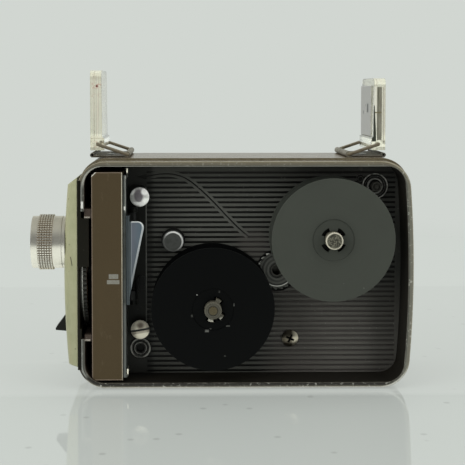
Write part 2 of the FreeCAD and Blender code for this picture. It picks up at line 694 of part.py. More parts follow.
def edges_at_y(shape, y):
    """The edges that lie in a plane square to Y."""
    return [e for e in shape.Edges if all(abs(v.Point.y - y) < 1e-6 for v in e.Vertexes)]


def domed_head(x, z, radius, y, height, dome):
    """A round head that starts at y, rises towards -Y and ends in a dome."""
    sphere_radius = (radius * radius + dome * dome) / (2 * dome)
    ball = Part.makeSphere(sphere_radius, Vec(x, y - height - dome + sphere_radius, z))
    blank = rod_y(x, z, radius, y - height - dome, y)
    return blank.common(ball.fuse(rod_y(x, z, radius + 1, y - height, y + 1)))


def bowed_block(x0, x1, y0, y1, z0, z1, radius):
    """A round-cornered block whose rear side bows out to x1 at mid height."""
    half = (z1 - z0) / 2
    sag = BOW_RADIUS - math.sqrt(BOW_RADIUS ** 2 - half ** 2)
    low_front = Vec(x0, y0, z0)
    low_rear = Vec(x1 - sag, y0, z0)
    middle = Vec(x1, y0, z0 + half)
    high_rear = Vec(x1 - sag, y0, z1)
    high_front = Vec(x0, y0, z1)
    edges = [
        Part.LineSegment(low_front, low_rear).toShape(),
        Part.Arc(low_rear, middle, high_rear).toShape(),
        Part.LineSegment(high_rear, high_front).toShape(),
        Part.LineSegment(high_front, low_front).toShape(),
    ]
    block = Part.Face(Part.Wire(edges)).extrude(Vec(0, y1 - y0, 0))
    return block.makeFillet(radius, edges_along(block, Vec(0, 1, 0)))


def gear_outline(x, z, teeth, module, phase):
    """The (x, z) points of a spur gear with straight-sided teeth."""
    pitch_radius = module * teeth / 2
    tip = pitch_radius + ADDENDUM * module
    root = pitch_radius - DEDENDUM * module
    step = 360 / teeth
    points = []
    for index in range(teeth):
        middle = phase + index * step
        for radius, share in [
            (root, -0.33), (tip, -TOOTH_SHARE / 3.2), (tip, TOOTH_SHARE / 3.2), (root, 0.33)
        ]:
            points.append(polar(x, z, radius, middle + share * step))
    return points


def mesh_phase(x_a, z_a, teeth_a, phase_a, x_b, z_b, teeth_b):
    """The phase that sets gear b's space on gear a's tooth where they meet."""
    direction = math.degrees(math.atan2(z_b - z_a, x_b - x_a))
    shift = (phase_a - direction) / (360 / teeth_a)
    shift -= math.floor(shift + 0.5)
    return direction + 180 + (0.5 - shift) * 360 / teeth_b


# Places of the train, the post and the footage arm, worked out from the sizes above
SECOND_DISTANCE = MODULE * (BARREL_TEETH + SECOND_PINION_TEETH) / 2
SECOND_Z = SHUTTER_Z
SECOND_X = ARBOR_X - math.sqrt(SECOND_DISTANCE ** 2 - (SECOND_Z - ARBOR_Z) ** 2)
CROWN_X = SECOND_X - WHEEL_MODULE * (SECOND_WHEEL_TEETH + CROWN_PINION_TEETH) / 2
CROWN_Z = SHUTTER_Z
GOVERNOR_DISTANCE = WHEEL_MODULE * (GOVERNOR_WHEEL_TEETH + GOVERNOR_TEETH) / 2
GOVERNOR_X, GOVERNOR_Z = polar(CROWN_X, CROWN_Z, GOVERNOR_DISTANCE, GOVERNOR_ANGLE)
BARREL_PHASE = math.degrees(math.atan2(SECOND_Z - ARBOR_Z, SECOND_X - ARBOR_X))
TAKEUP_DISTANCE = math.hypot(TAKEUP_X - ARBOR_X, TAKEUP_Z - ARBOR_Z)
TAKEUP_MODULE = 2 * TAKEUP_DISTANCE / (BARREL_TEETH + TAKEUP_TEETH)
CLICK_X, CLICK_Z = polar(ARBOR_X, ARBOR_Z, CLICK_DISTANCE, CLICK_ANGLE)
POST_X, POST_Z = polar(TAKEUP_X, TAKEUP_Z, SPOOL_RADIUS + POST_RADIUS + POST_SPOOL_GAP, POST_ANGLE)
FOOTAGE_DISTANCE = math.hypot(FOOTAGE_X - SUPPLY_X, FOOTAGE_Z - SUPPLY_Z)
FOOTAGE_ARM_LENGTH = FOOTAGE_DISTANCE - SPOOL_CORE_RADIUS - FOOTAGE_SHOE_RADIUS - FOOTAGE_SHOE_GAP
SEAT_X = COLLAR_BACK_X
NUT_FRONT_X = PANEL_FACE_X + PANEL_SKIN + NUT_PAD_HEIGHT


def outline(x0, x1, y0, y1, z0, z1, radius):
    """A plate in the XZ plane with round corners."""
    plate = box(x0, x1, y0, y1, z0, z1)
    return plate.makeFillet(radius, edges_along(plate, Vec(0, 1, 0)))


def make_case():
    lip = bowed_block(FRONT_X, REAR_X, RIM_Y, BODY_STEP_Y + 1, LIP_BOTTOM_Z, LIP_TOP_Z, CORNER_RADIUS)
    body = bowed_block(FRONT_X, REAR_X + CASE_STEP, BODY_STEP_Y, BACK_Y, 0, CASE_TOP_Z, CORNER_RADIUS)
    body = body.makeFillet(BACK_ROUND, edges_at_y(body, BACK_Y))
    hollow = bowed_block(
        FRONT_INSIDE_X, REAR_X - RIM, RIM_Y - 1, BACK_INSIDE_Y, INSIDE_BOTTOM_Z, INSIDE_TOP_Z,
        INSIDE_CORNER_RADIUS
    )
    case = join([lip, body]).cut(hollow)
    extra = [rod_z(0, 0, SOCKET_BOSS_RADIUS, 1, SOCKET_BOSS_HEIGHT)]
    for x, z in PILLAR_PLACES:
        extra.append(rod_y(x, z, CASE_BOSS_RADIUS, BACK_PLATE_END_Y, BACK_INSIDE_Y + 1))
    ledge_x1 = FRONT_INSIDE_X + LEDGE_REACH
    ledge_y0 = RIM_Y + LEDGE_NEAR_GAP
    ledge_spans = (
        (WINDOW_TOP_Z - LEDGE_THICKNESS, WINDOW_TOP_Z + 1),
        (WINDOW_BOTTOM_Z - 1, WINDOW_BOTTOM_Z + LEDGE_FOOT)
    )
    for z0, z1 in ledge_spans:
        extra.append(box(FRONT_INSIDE_X - 1, ledge_x1, ledge_y0, LEDGE_FAR_Y, z0, z1))
    extra.append(catch(CATCH_X))
    case = join([case] + extra)
    window = box(FRONT_X - 1, FRONT_INSIDE_X + 0.01, RIM_Y - 1, WINDOW_FAR_Y, WINDOW_BOTTOM_Z, WINDOW_TOP_Z)
    recess = box(FRONT_X - 1, SPACER_BACK_X, RIM_Y - 1, PANEL_FAR_Y, SPACER_BOTTOM_Z, SPACER_TOP_Z)
    socket = rod_z(0, 0, SOCKET_BUSH_RADIUS, -1, SOCKET_LENGTH + 1)
    key_hole = rod_y(ARBOR_X, ARBOR_Z, KEY_SHAFT_RADIUS + FIT_GAP, BACK_INSIDE_Y - 1, BACK_Y + 1)
    dial_window = rod_y(
        FOOTAGE_X - FOOTAGE_WINDOW_OFFSET, FOOTAGE_Z, FOOTAGE_WINDOW_RADIUS, BACK_INSIDE_Y - 1, BACK_Y + 1
    )
    return case.cut(
        [window, recess, socket, key_hole, dial_window, link_slot(FRONT_X - 1, FRONT_INSIDE_X + 1)]
    )


def catch(x):
    """A small nub under the top rim that holds the side cover's edge."""
    return rod_z(x, RIM_Y + CATCH_INSET, CATCH_RADIUS, INSIDE_TOP_Z - CATCH_LENGTH, INSIDE_TOP_Z + 1)


def link_slot(x0, x1):
    """The slot that the release rod slides in."""
    half = LINK_ROD_RADIUS + MOVING_GAP
    middle = LINK_BOTTOM_Z + LINK_ROD_RADIUS
    return box(x0, x1, LINK_ROD_Y - half, LINK_ROD_Y + half, middle - LEVER_TRAVEL - half, middle + half)


def make_tripod_bush():
    bush = rod_z(0, 0, SOCKET_BUSH_RADIUS, 0, SOCKET_LENGTH + 1)
    return bush.cut(rod_z(0, 0, SOCKET_BORE, -1, SOCKET_LENGTH))


def panel_block(inset, back_x):
    """The front panel's outside when inset is zero, or the hollow inside it."""
    low = PANEL_BOTTOM_Z + inset
    high = PANEL_TOP_Z - inset
    middle = (PANEL_BOTTOM_Z + PANEL_TOP_Z) / 2
    half = (PANEL_TOP_Z - PANEL_BOTTOM_Z) / 2
    sag = BOW_RADIUS - math.sqrt(BOW_RADIUS ** 2 - half ** 2)
    face = PANEL_FACE_X + inset
    y = PANEL_NEAR_Y + inset
    back_low = Vec(back_x, y, low)
    face_low = Vec(face + sag, y, low + PANEL_BEVEL)
    face_high = Vec(face + sag, y, high - PANEL_SLANT)
    back_high = Vec(back_x, y, high)
    edges = [
        Part.LineSegment(back_low, face_low).toShape(),
        Part.Arc(face_low, Vec(face, y, middle), face_high).toShape(),
        Part.LineSegment(face_high, back_high).toShape(),
        Part.LineSegment(back_high, back_low).toShape(),
    ]
    depth = PANEL_FAR_Y - PANEL_NEAR_Y - 2 * inset
    return Part.Face(Part.Wire(edges)).extrude(Vec(0, depth, 0))


def front_arcs(shape):
    """The bowed edges on both sides of the panel's face."""
    return [e for e in shape.Edges if isinstance(e.Curve, Part.Circle) and e.Length > 20]


def make_front_panel():
    panel = panel_block(0, PANEL_BACK_X)
    panel = panel.makeFillet(PANEL_EDGE_ROUND, front_arcs(panel))
    panel = panel.cut(panel_block(PANEL_SKIN, PANEL_BACK_X + 1))
    pad = rod_x(LENS_Y, LENS_Z, MOUNT_NUT_RADIUS, PANEL_FACE_X + 1, NUT_FRONT_X)
    panel = join([panel, pad])
    seat = rod_x(LENS_Y, LENS_Z, COLLAR_RADIUS + FIT_GAP, PANEL_FACE_X - 1, SEAT_X)
    hole = rod_x(LENS_Y, LENS_Z, MOUNT_TAIL_RADIUS, PANEL_FACE_X - 1, PANEL_BACK_X)
    half = LEVER_STEM_WIDTH / 2 + SMALL_GAP
    low = stem_bottom() - LEVER_TRAVEL - SMALL_GAP
    slot = box(
        PANEL_FACE_X - 1, LINK_FRONT_X, LEVER_Y - half, LEVER_Y + half, low,
        stem_bottom() + LEVER_STEM_HEIGHT + SMALL_GAP
    )
    return panel.cut([seat, hole, slot])


def stem_bottom():
    """The low end of the run lever's stem."""
    return LEVER_BOTTOM_Z + (LEVER_HEIGHT - LEVER_STEM_HEIGHT) / 2


def make_front_spacer():
    near = RIM_Y + SPACER_NEAR_GAP
    spacer = box(FRONT_X, SPACER_BACK_X, near, PANEL_FAR_Y, SPACER_BOTTOM_Z, SPACER_TOP_Z)
    guard_far = near + GUARD_THICKNESS
    guard_end_x = SPACER_BACK_X + GUARD_REACH
    top = WINDOW_TOP_Z - LEDGE_THICKNESS
    guard = box(SPACER_BACK_X - 1, guard_end_x, near, guard_far, WHEEL_VISIBLE_TOP_Z + SMALL_GAP, top)
    spacer = join([spacer, guard])
    floor_x = WHEEL_FRONT_X - WHEEL_FRONT_GAP
    recess = rod_x(WHEEL_Y, WHEEL_Z, WHEEL_RADIUS + MOVING_GAP, floor_x, SPACER_BACK_X)
    opening = box(floor_x, SPACER_BACK_X, RIM_Y, WHEEL_Y, WHEEL_VISIBLE_BOTTOM_Z, WHEEL_VISIBLE_TOP_Z)
    light = rod_x(LENS_Y, LENS_Z, SPACER_LIGHT_RADIUS, FRONT_X - 1, SPACER_BACK_X + 1)
    pin_hole = rod_x(WHEEL_Y, WHEEL_Z, WHEEL_PIN_RADIUS, FRONT_X - 1, SPACER_BACK_X)
    return spacer.cut([recess, opening, light, pin_hole, link_slot(FRONT_X - 1, SPACER_BACK_X + 1)])


def make_wheel_pin():
    shank = rod_x(WHEEL_Y, WHEEL_Z, WHEEL_PIN_RADIUS, FRONT_X, WHEEL_BACK_X + FIT_GAP)
    head = rod_x(WHEEL_Y, WHEEL_Z, WHEEL_PIN_RADIUS + 1.2, WHEEL_BACK_X + FIT_GAP, WHEEL_BACK_X + 0.8)
    return join([shank, head])


def make_exposure_wheel():
    step = 360 / WHEEL_NOTCHES
    points = []
    for index in range(WHEEL_NOTCHES):
        for radius, share in [
            (WHEEL_RADIUS - WHEEL_NOTCH_DEPTH, 0), (WHEEL_RADIUS, 0.3), (WHEEL_RADIUS, 0.7)
        ]:
            points.append(polar(WHEEL_Y, WHEEL_Z, radius, (index + share) * step))
    serrated = prism_x(points, WHEEL_FRONT_X + WHEEL_SMOOTH, WHEEL_BACK_X)
    smooth = rod_x(WHEEL_Y, WHEEL_Z, WHEEL_RADIUS - 0.15, WHEEL_FRONT_X, WHEEL_FRONT_X + WHEEL_SMOOTH)
    wheel = join([smooth, serrated])
    pocket_start = WHEEL_FRONT_X + WHEEL_WEB
    pocket = ring_x(
        WHEEL_Y, WHEEL_Z, WHEEL_RADIUS - WHEEL_RIM_WIDTH, WHEEL_HUB_RADIUS, pocket_start, WHEEL_BACK_X + 1
    )
    cuts = [
        pocket, rod_x(WHEEL_Y, WHEEL_Z, WHEEL_PIN_RADIUS + FIT_GAP, WHEEL_FRONT_X - 1, WHEEL_BACK_X + 1)
    ]
    stop_distance = math.hypot(LENS_Y - WHEEL_Y, LENS_Z - WHEEL_Z)
    first = math.degrees(math.atan2(LENS_Z - WHEEL_Z, LENS_Y - WHEEL_Y))
    for index, radius in enumerate(WHEEL_STOP_RADII):
        y, z = polar(WHEEL_Y, WHEEL_Z, stop_distance, first + (index - 2) * WHEEL_STOP_STEP)
        cuts.append(rod_x(y, z, radius, WHEEL_FRONT_X - 1, WHEEL_BACK_X + 1))
    return wheel.cut(cuts)


def make_lens_mount():
    collar = rod_x(LENS_Y, LENS_Z, COLLAR_RADIUS, COLLAR_FRONT_X, COLLAR_BACK_X)
    sleeve = rod_x(LENS_Y, LENS_Z, SLEEVE_RADIUS, SLEEVE_FRONT_X, COLLAR_FRONT_X)
    tail = rod_x(LENS_Y, LENS_Z, MOUNT_TAIL_RADIUS, COLLAR_BACK_X, NUT_FRONT_X + MOUNT_NUT)
    mount = join([collar, sleeve, tail])
    front_bore = rod_x(
        LENS_Y, LENS_Z, MOUNT_BORE, SLEEVE_FRONT_X - 1, FRONT_ELEMENT_X + FRONT_ELEMENT_THICKNESS
    )
    middle_bore = rod_x(LENS_Y, LENS_Z, MOUNT_SHOULDER_BORE, SLEEVE_FRONT_X, NUT_FRONT_X)
    rear_bore = rod_x(LENS_Y, LENS_Z, MOUNT_BORE, REAR_ELEMENT_X, NUT_FRONT_X + MOUNT_NUT + 1)
    return mount.cut([front_bore, middle_bore, rear_bore])


def make_mount_nut():
    return ring_x(LENS_Y, LENS_Z, MOUNT_NUT_RADIUS, MOUNT_TAIL_RADIUS, NUT_FRONT_X, NUT_FRONT_X + MOUNT_NUT)


def make_lens_ring():
    parts = [rod_x(LENS_Y, LENS_Z, RING_RADIUS, RING_FRONT_X, RING_BACK_X)]
    pitch = (KNURL_BACK_X - KNURL_FRONT_X) / KNURL_BANDS
    step = 360 / KNURL_TEETH
    outline_points = []
    for index in range(KNURL_TEETH):
        for radius, share in [
            (RING_RADIUS - 0.05, 0), (RING_RADIUS - 0.05, 0.25), (KNURL_RADIUS, 0.4), (KNURL_RADIUS, 0.85)
        ]:
            outline_points.append(polar(LENS_Y, LENS_Z, radius, (index + share) * step))
    for band in range(KNURL_BANDS):
        start = KNURL_FRONT_X + band * pitch
        parts.append(prism_x(outline_points, start + KNURL_GROOVE / 2, start + pitch - KNURL_GROOVE / 2))
    ring = join(parts)
    bore = rod_x(LENS_Y, LENS_Z, SLEEVE_RADIUS + FIT_GAP, RING_FRONT_X + RING_NOSE, RING_BACK_X + 1)
    window = rod_x(LENS_Y, LENS_Z, LENS_WINDOW_RADIUS, RING_FRONT_X - 1, RING_BACK_X)
    hood = Part.makeCone(
        LENS_WINDOW_RADIUS + 2, LENS_WINDOW_RADIUS, RING_NOSE - 0.4,
        Vec(RING_FRONT_X, LENS_Y, LENS_Z), Vec(1, 0, 0)
    )
    return ring.cut([bore, window, hood])


def lens_element(flat_x, edge_x, dome_x):
    """A round glass element: flat on its seat, with a domed far side."""
    dome = abs(dome_x - edge_x)
    sphere_radius = (MOUNT_BORE ** 2 + dome ** 2) / (2 * dome)
    half = MOUNT_BORE / 2
    depth = sphere_radius - math.sqrt(sphere_radius ** 2 - half ** 2)
    middle_x = dome_x + math.copysign(depth, edge_x - dome_x)
    flat_centre = Vec(flat_x, LENS_Y, LENS_Z)
    flat_rim = Vec(flat_x, LENS_Y + MOUNT_BORE, LENS_Z)
    edge_rim = Vec(edge_x, LENS_Y + MOUNT_BORE, LENS_Z)
    dome_middle = Vec(middle_x, LENS_Y + half, LENS_Z)
    apex = Vec(dome_x, LENS_Y, LENS_Z)
    edges = [
        Part.LineSegment(flat_centre, flat_rim).toShape(),
        Part.LineSegment(flat_rim, edge_rim).toShape(),
        Part.Arc(edge_rim, dome_middle, apex).toShape(),
        Part.LineSegment(apex, flat_centre).toShape(),
    ]
    return Part.Face(Part.Wire(edges)).revolve(flat_centre, Vec(1, 0, 0), 360)


def make_lens_elements():
    front_seat = FRONT_ELEMENT_X + FRONT_ELEMENT_THICKNESS
    rear_edge = REAR_ELEMENT_X + REAR_ELEMENT_THICKNESS
    front = lens_element(front_seat, FRONT_ELEMENT_X, FRONT_ELEMENT_X - FRONT_ELEMENT_DOME)
    rear = lens_element(REAR_ELEMENT_X, rear_edge, rear_edge + REAR_ELEMENT_DOME)
    return Part.makeCompound([front, rear])


def make_run_lever():
    top = LEVER_BOTTOM_Z + LEVER_HEIGHT
    face = PANEL_FACE_X - SMALL_GAP
    tip = face - LEVER_REACH
    points = [
        (face, LEVER_BOTTOM_Z), (tip, LEVER_BOTTOM_Z + 0.4), (tip - 0.1, LEVER_BOTTOM_Z + 1.2),
        (face - 0.5, top), (face, top)
    ]
    wedge = prism_y(points, LEVER_Y - LEVER_WIDTH / 2, LEVER_Y + LEVER_WIDTH / 2)
    half = LEVER_STEM_WIDTH / 2
    stem = box(
        face - 1, LINK_FRONT_X, LEVER_Y - half, LEVER_Y + half, stem_bottom(),
        stem_bottom() + LEVER_STEM_HEIGHT
    )
    return join([wedge, stem])


def make_release_link():
    back = LINK_FRONT_X + LINK_THICKNESS
    half = LINK_WIDTH / 2
    middle = LINK_BOTTOM_Z + LINK_ROD_RADIUS
    strip = box(
        LINK_FRONT_X, back, LEVER_Y - half, LEVER_Y + half, LINK_BOTTOM_Z, LEVER_BOTTOM_Z + LEVER_HEIGHT
    )
    foot = box(
        LINK_FRONT_X, back, LEVER_Y - half, LINK_ROD_Y + LINK_ROD_RADIUS, LINK_BOTTOM_Z,
        LINK_BOTTOM_Z + 2 * LINK_ROD_RADIUS
    )
    rod = rod_x(LINK_ROD_Y, middle, LINK_ROD_RADIUS, LINK_FRONT_X, LINK_END_X)
    finger = box(
        LINK_END_X - 1.0, LINK_END_X, LINK_ROD_Y - 1.2, LINK_ROD_Y + 1.2, middle, LINK_FINGER_TOP_Z
    )
    return join([strip, foot, rod, finger])


def make_lever_spring():
    """A leaf fixed inside the panel's near wall, its free end under the link."""
    near = PANEL_NEAR_Y + PANEL_SKIN
    low = LINK_BOTTOM_Z - LEVER_TRAVEL - 0.7
    leaf = box(
        LINK_FRONT_X, LINK_FRONT_X + LINK_THICKNESS, near, LEVER_Y, low, low + LEVER_SPRING_THICKNESS
    )
    clamp = box(LINK_FRONT_X, LINK_FRONT_X + LINK_THICKNESS, near, near + 0.6, low, low + 4)
    return join([leaf, clamp])


def make_gate_housing():
    block = box(
        HOUSING_LEFT_X, HOUSING_RIGHT_X, HOUSING_NEAR_Y, FLOOR_BACK_Y, HOUSING_BOTTOM_Z, HOUSING_TOP_Z
    )
    feet = [
        box(
            HOUSING_LEFT_X, HOUSING_RIGHT_X, FLOOR_BACK_Y - 1, BACK_INSIDE_Y,
            HOUSING_BOTTOM_Z, HOUSING_BOTTOM_Z + HOUSING_FOOT,
        ),
        box(
            HOUSING_LEFT_X, HOUSING_RIGHT_X, FLOOR_BACK_Y - 1, BACK_INSIDE_Y,
            HOUSING_TOP_Z - HOUSING_FOOT, HOUSING_TOP_Z,
        ),
    ]
    housing = join([block] + feet)
    top = [e for e in edges_along(housing, Vec(0, 1, 0)) if corner_at(e, HOUSING_LEFT_X, HOUSING_TOP_Z)]
    housing = housing.makeChamfer(HOUSING_CHAMFER, top)
    low = [e for e in edges_along(housing, Vec(0, 1, 0)) if corner_at(e, HOUSING_LEFT_X, HOUSING_BOTTOM_Z)]
    housing = housing.makeFillet(HOUSING_FOOT_ROUND, low)
    hollow = box(
        HOUSING_LEFT_X + HOUSING_WALL, HOUSING_RIGHT_X - HOUSING_WALL,
        HOUSING_NEAR_Y + HOUSING_WALL, FLOOR_BACK_Y + 1,
        HOUSING_BOTTOM_Z + HOUSING_FOOT, HOUSING_TOP_Z - HOUSING_FOOT
    )
    light = rod_x(
        LENS_Y, LENS_Z, SPACER_LIGHT_RADIUS, HOUSING_LEFT_X - 1, HOUSING_RIGHT_X - HOUSING_WALL - 1
    )
    half_width = APERTURE_WIDTH / 2 + 1
    half_height = APERTURE_HEIGHT / 2 + 1
    window = box(
        HOUSING_RIGHT_X - HOUSING_WALL - 1, HOUSING_RIGHT_X + 1, LENS_Y - half_width, LENS_Y + half_width,
        LENS_Z - half_height, LENS_Z + half_height
    )
    return housing.cut(
        [hollow, light, window, claw_slot(HOUSING_RIGHT_X - HOUSING_WALL - 1, HOUSING_RIGHT_X + 1)]
    )


def corner_at(edge, x, z):
    """Whether an edge along Y stands at a corner."""
    point = edge.Vertexes[0].Point
    return abs(point.x - x) < 1e-6 and abs(point.z - z) < 1e-6


def claw_slot(x0, x1):
    half = CLAW_SLOT_WIDTH / 2
    return box(
        x0, x1, CLAW_SLOT_Y - half, CLAW_SLOT_Y + half, CLAW_TOOTH_Z - HALF_CLAW_SLOT,
        CLAW_TOOTH_Z + HALF_CLAW_SLOT
    )


def make_aperture_plate():
    plate = box(
        HOUSING_RIGHT_X, APERTURE_FACE_X, APERTURE_NEAR_Y, APERTURE_FAR_Y, APERTURE_BOTTOM_Z, APERTURE_TOP_Z
    )
    lips = []
    for z in (APERTURE_BOTTOM_Z + LIP_RADIUS, APERTURE_TOP_Z - LIP_RADIUS):
        lips.append(rod_y(APERTURE_FACE_X, z, LIP_RADIUS, APERTURE_NEAR_Y, APERTURE_FAR_Y))
    plate = join([plate] + lips + gate_pins())
    window = box(
        HOUSING_RIGHT_X - 1, APERTURE_FACE_X + 1, LENS_Y - APERTURE_WIDTH / 2, LENS_Y + APERTURE_WIDTH / 2,
        LENS_Z - APERTURE_HEIGHT / 2, LENS_Z + APERTURE_HEIGHT / 2
    )
    return plate.cut([window, claw_slot(HOUSING_RIGHT_X - 1, APERTURE_FACE_X + 1)])


def gate_pins():
    """The two small upright pins at the ends of the aperture plate."""
    x = APERTURE_FACE_X + LIP_RADIUS
    y = APERTURE_NEAR_Y + GATE_PIN_RADIUS
    low_z = APERTURE_BOTTOM_Z + LIP_RADIUS
    high_z = APERTURE_TOP_Z - LIP_RADIUS
    low = rod_z(x, y, GATE_PIN_RADIUS, low_z, APERTURE_BOTTOM_Z + GATE_PIN_HEIGHT)
    high = rod_z(x, y, GATE_PIN_RADIUS, high_z, INSIDE_TOP_Z - GATE_PIN_TOP_GAP)
    return [low, high]


def make_pressure_plate():
    leaf = box(
        PRESSURE_FACE_X, PRESSURE_BACK_X, PRESSURE_NEAR_Y, PRESSURE_FAR_Y, PRESSURE_BOTTOM_Z, PRESSURE_TOP_Z
    )
    parts = [leaf]
    for z in (PRESSURE_BOTTOM_Z, PRESSURE_TOP_Z - KNUCKLE_LENGTH):
        parts.append(rod_z(HINGE_X, HINGE_Y, KNUCKLE_RADIUS, z, z + KNUCKLE_LENGTH))
        parts.append(
            box(PRESSURE_FACE_X, HINGE_X, PRESSURE_FAR_Y - 1, HINGE_Y + 0.5, z, z + KNUCKLE_LENGTH)
        )
    flag_tip_x = PRESSURE_BACK_X + FLAG_REACH
    flag_points = [
        (PRESSURE_BACK_X - 0.4, FLAG_TOP_Z),
        (flag_tip_x, FLAG_TOP_Z),
        (PRESSURE_BACK_X, FLAG_BOTTOM_Z),
        (PRESSURE_BACK_X - 0.4, FLAG_BOTTOM_Z),
    ]
    flag = prism_y(flag_points, PRESSURE_NEAR_Y, PRESSURE_NEAR_Y + FLAG_THICKNESS)
    tip = [e for e in edges_along(flag, Vec(0, 1, 0)) if corner_at(e, flag_tip_x, FLAG_TOP_Z)]
    parts.append(flag.makeFillet(FLAG_CORNER_RADIUS, tip))
    plate = join(parts)
    bore = rod_z(HINGE_X, HINGE_Y, HINGE_ROD_RADIUS + FIT_GAP, PRESSURE_BOTTOM_Z - 1, PRESSURE_TOP_Z + 1)
    return plate.cut([bore, claw_slot(PRESSURE_FACE_X - 1, PRESSURE_BACK_X - 0.4)])


def make_hinge_rod():
    reach = HINGE_LUG + SMALL_GAP
    return rod_z(HINGE_X, HINGE_Y, HINGE_ROD_RADIUS, PRESSURE_BOTTOM_Z - reach, PRESSURE_TOP_Z + reach)


def make_pressure_spring():
    blade = box(
        LEAF_X, LEAF_X + LEAF_THICKNESS, SIDE_PLATE_Y - LEAF_REACH, SIDE_PLATE_Y, LEAF_BOTTOM_Z,
        LEAF_BOTTOM_Z + LEAF_HEIGHT
    )
    foot_y = SIDE_PLATE_Y - LEAF_THICKNESS
    foot = box(
        LEAF_X, SIDE_PLATE_RIGHT_X - 0.8, foot_y, SIDE_PLATE_Y, LEAF_BOTTOM_Z, LEAF_BOTTOM_Z + LEAF_HEIGHT
    )
    return join([blade, foot])


def make_side_plate():
    plate = outline(
        SIDE_PLATE_LEFT_X, SIDE_PLATE_RIGHT_X, SIDE_PLATE_Y, FLOOR_Y, SIDE_PLATE_BOTTOM_Z,
        SIDE_PLATE_TOP_Z, SIDE_PLATE_CORNER
    )
    parts = [plate]
    for z in (PRESSURE_BOTTOM_Z - SMALL_GAP - HINGE_LUG, PRESSURE_TOP_Z + SMALL_GAP):
        parts.append(rod_z(HINGE_X, HINGE_Y, KNUCKLE_RADIUS, z, z + HINGE_LUG))
        parts.append(
            box(
                HINGE_X - KNUCKLE_RADIUS, HINGE_X + KNUCKLE_RADIUS, HINGE_Y, SIDE_PLATE_Y + 0.5, z,
                z + HINGE_LUG
            )
        )
    plate = join(parts)
    cuts = [rod_z(HINGE_X, HINGE_Y, HINGE_ROD_RADIUS, PRESSURE_BOTTOM_Z - 9, PRESSURE_TOP_Z + 9)]
    for z in (STUD_Z, GATE_SCREW_Z):
        cuts.append(rod_y(STUD_X, z, SCREW_THREAD_RADIUS, SIDE_PLATE_Y - 1, FLOOR_Y + 1))
    return plate.cut(cuts)


def make_dome_stud():
    shank_y = SIDE_PLATE_Y - STUD_SHANK
    head = domed_head(STUD_X, STUD_Z, STUD_HEAD_RADIUS, shank_y, STUD_HEAD, STUD_DOME)
    shank = rod_y(STUD_X, STUD_Z, STUD_SHANK_RADIUS, shank_y, SIDE_PLATE_Y)
    thread = rod_y(STUD_X, STUD_Z, SCREW_THREAD_RADIUS, SIDE_PLATE_Y, FLOOR_Y + SCREW_THREAD_LENGTH)
    return join([head, shank, thread])


def make_gate_screw():
    shank_y = SIDE_PLATE_Y - GATE_SCREW_SHANK
    head = domed_head(STUD_X, GATE_SCREW_Z, GATE_SCREW_RADIUS, shank_y, GATE_SCREW_HEAD, GATE_SCREW_DOME)
    shank = rod_y(STUD_X, GATE_SCREW_Z, STUD_SHANK_RADIUS, shank_y, SIDE_PLATE_Y)
    thread = rod_y(STUD_X, GATE_SCREW_Z, SCREW_THREAD_RADIUS, SIDE_PLATE_Y, FLOOR_Y + SCREW_THREAD_LENGTH)
    top_y = shank_y - GATE_SCREW_HEAD - GATE_SCREW_DOME
    half = SCREW_SLOT_WIDTH / 2
    reach = GATE_SCREW_RADIUS + 1
    slot = box(
        STUD_X - reach, STUD_X + reach, top_y - 1, top_y + SCREW_SLOT_DEPTH, GATE_SCREW_Z - half,
        GATE_SCREW_Z + half
    )
    slot.rotate(Vec(STUD_X, 0, GATE_SCREW_Z), Vec(0, -1, 0), SCREW_SLOT_ANGLE)
    return join([head, shank, thread]).cut(slot)


def make_floor_bush():
    """A flange with a ring groove round the raised collar of its hole."""
    x = EMPTY_BOSS_X
    z = EMPTY_BOSS_Z
    top_y = FLOOR_Y - BOSS_HEIGHT
    flange = ring_y(x, z, BOSS_RADIUS, EMPTY_BOSS_HOLE, top_y, FLOOR_Y)
    flange = flange.makeChamfer(0.3, [e for e in edges_at_y(flange, top_y)])
    groove = ring_y(x, z, BOSS_GROOVE_RADIUS, BOSS_COLLAR_RADIUS, top_y - 1, top_y + BOSS_GROOVE)
    collar = ring_y(x, z, BOSS_COLLAR_RADIUS, EMPTY_BOSS_HOLE, top_y - BOSS_COLLAR, FLOOR_BACK_Y)
    return join([flange.cut(groove), collar])


def make_floor_screw():
    head = domed_head(
        FLOOR_SCREW_X, FLOOR_SCREW_Z, FLOOR_SCREW_RADIUS, FLOOR_Y, FLOOR_SCREW_HEAD, FLOOR_SCREW_DOME
    )
    thread = rod_y(
        FLOOR_SCREW_X, FLOOR_SCREW_Z, SCREW_THREAD_RADIUS, FLOOR_Y, FLOOR_Y + SCREW_THREAD_LENGTH
    )
    top_y = FLOOR_Y - FLOOR_SCREW_HEAD - FLOOR_SCREW_DOME
    reach = CROSS_SLOT_LENGTH / 2
    half = CROSS_SLOT_WIDTH / 2
    bar = box(
        FLOOR_SCREW_X - reach, FLOOR_SCREW_X + reach, top_y - 1, top_y + 1.1, FLOOR_SCREW_Z - half,
        FLOOR_SCREW_Z + half
    )
    other = bar.copy()
    bar.rotate(Vec(FLOOR_SCREW_X, 0, FLOOR_SCREW_Z), Vec(0, 1, 0), 25)
    other.rotate(Vec(FLOOR_SCREW_X, 0, FLOOR_SCREW_Z), Vec(0, 1, 0), 115)
    return join([head, thread]).cut([bar, other])


def make_cover_post():
    post = rod_y(POST_X, POST_Z, POST_RADIUS, FLOOR_Y - POST_HEIGHT, FLOOR_Y)
    post = post.makeChamfer(POST_CHAMFER, edges_at_y(post, FLOOR_Y - POST_HEIGHT))
    base = rod_y(POST_X, POST_Z, POST_BASE_RADIUS, FLOOR_Y - POST_BASE, FLOOR_Y)
    thread = rod_y(POST_X, POST_Z, SCREW_THREAD_RADIUS, FLOOR_Y, FLOOR_Y + SCREW_THREAD_LENGTH)
    return join([post, base, thread])


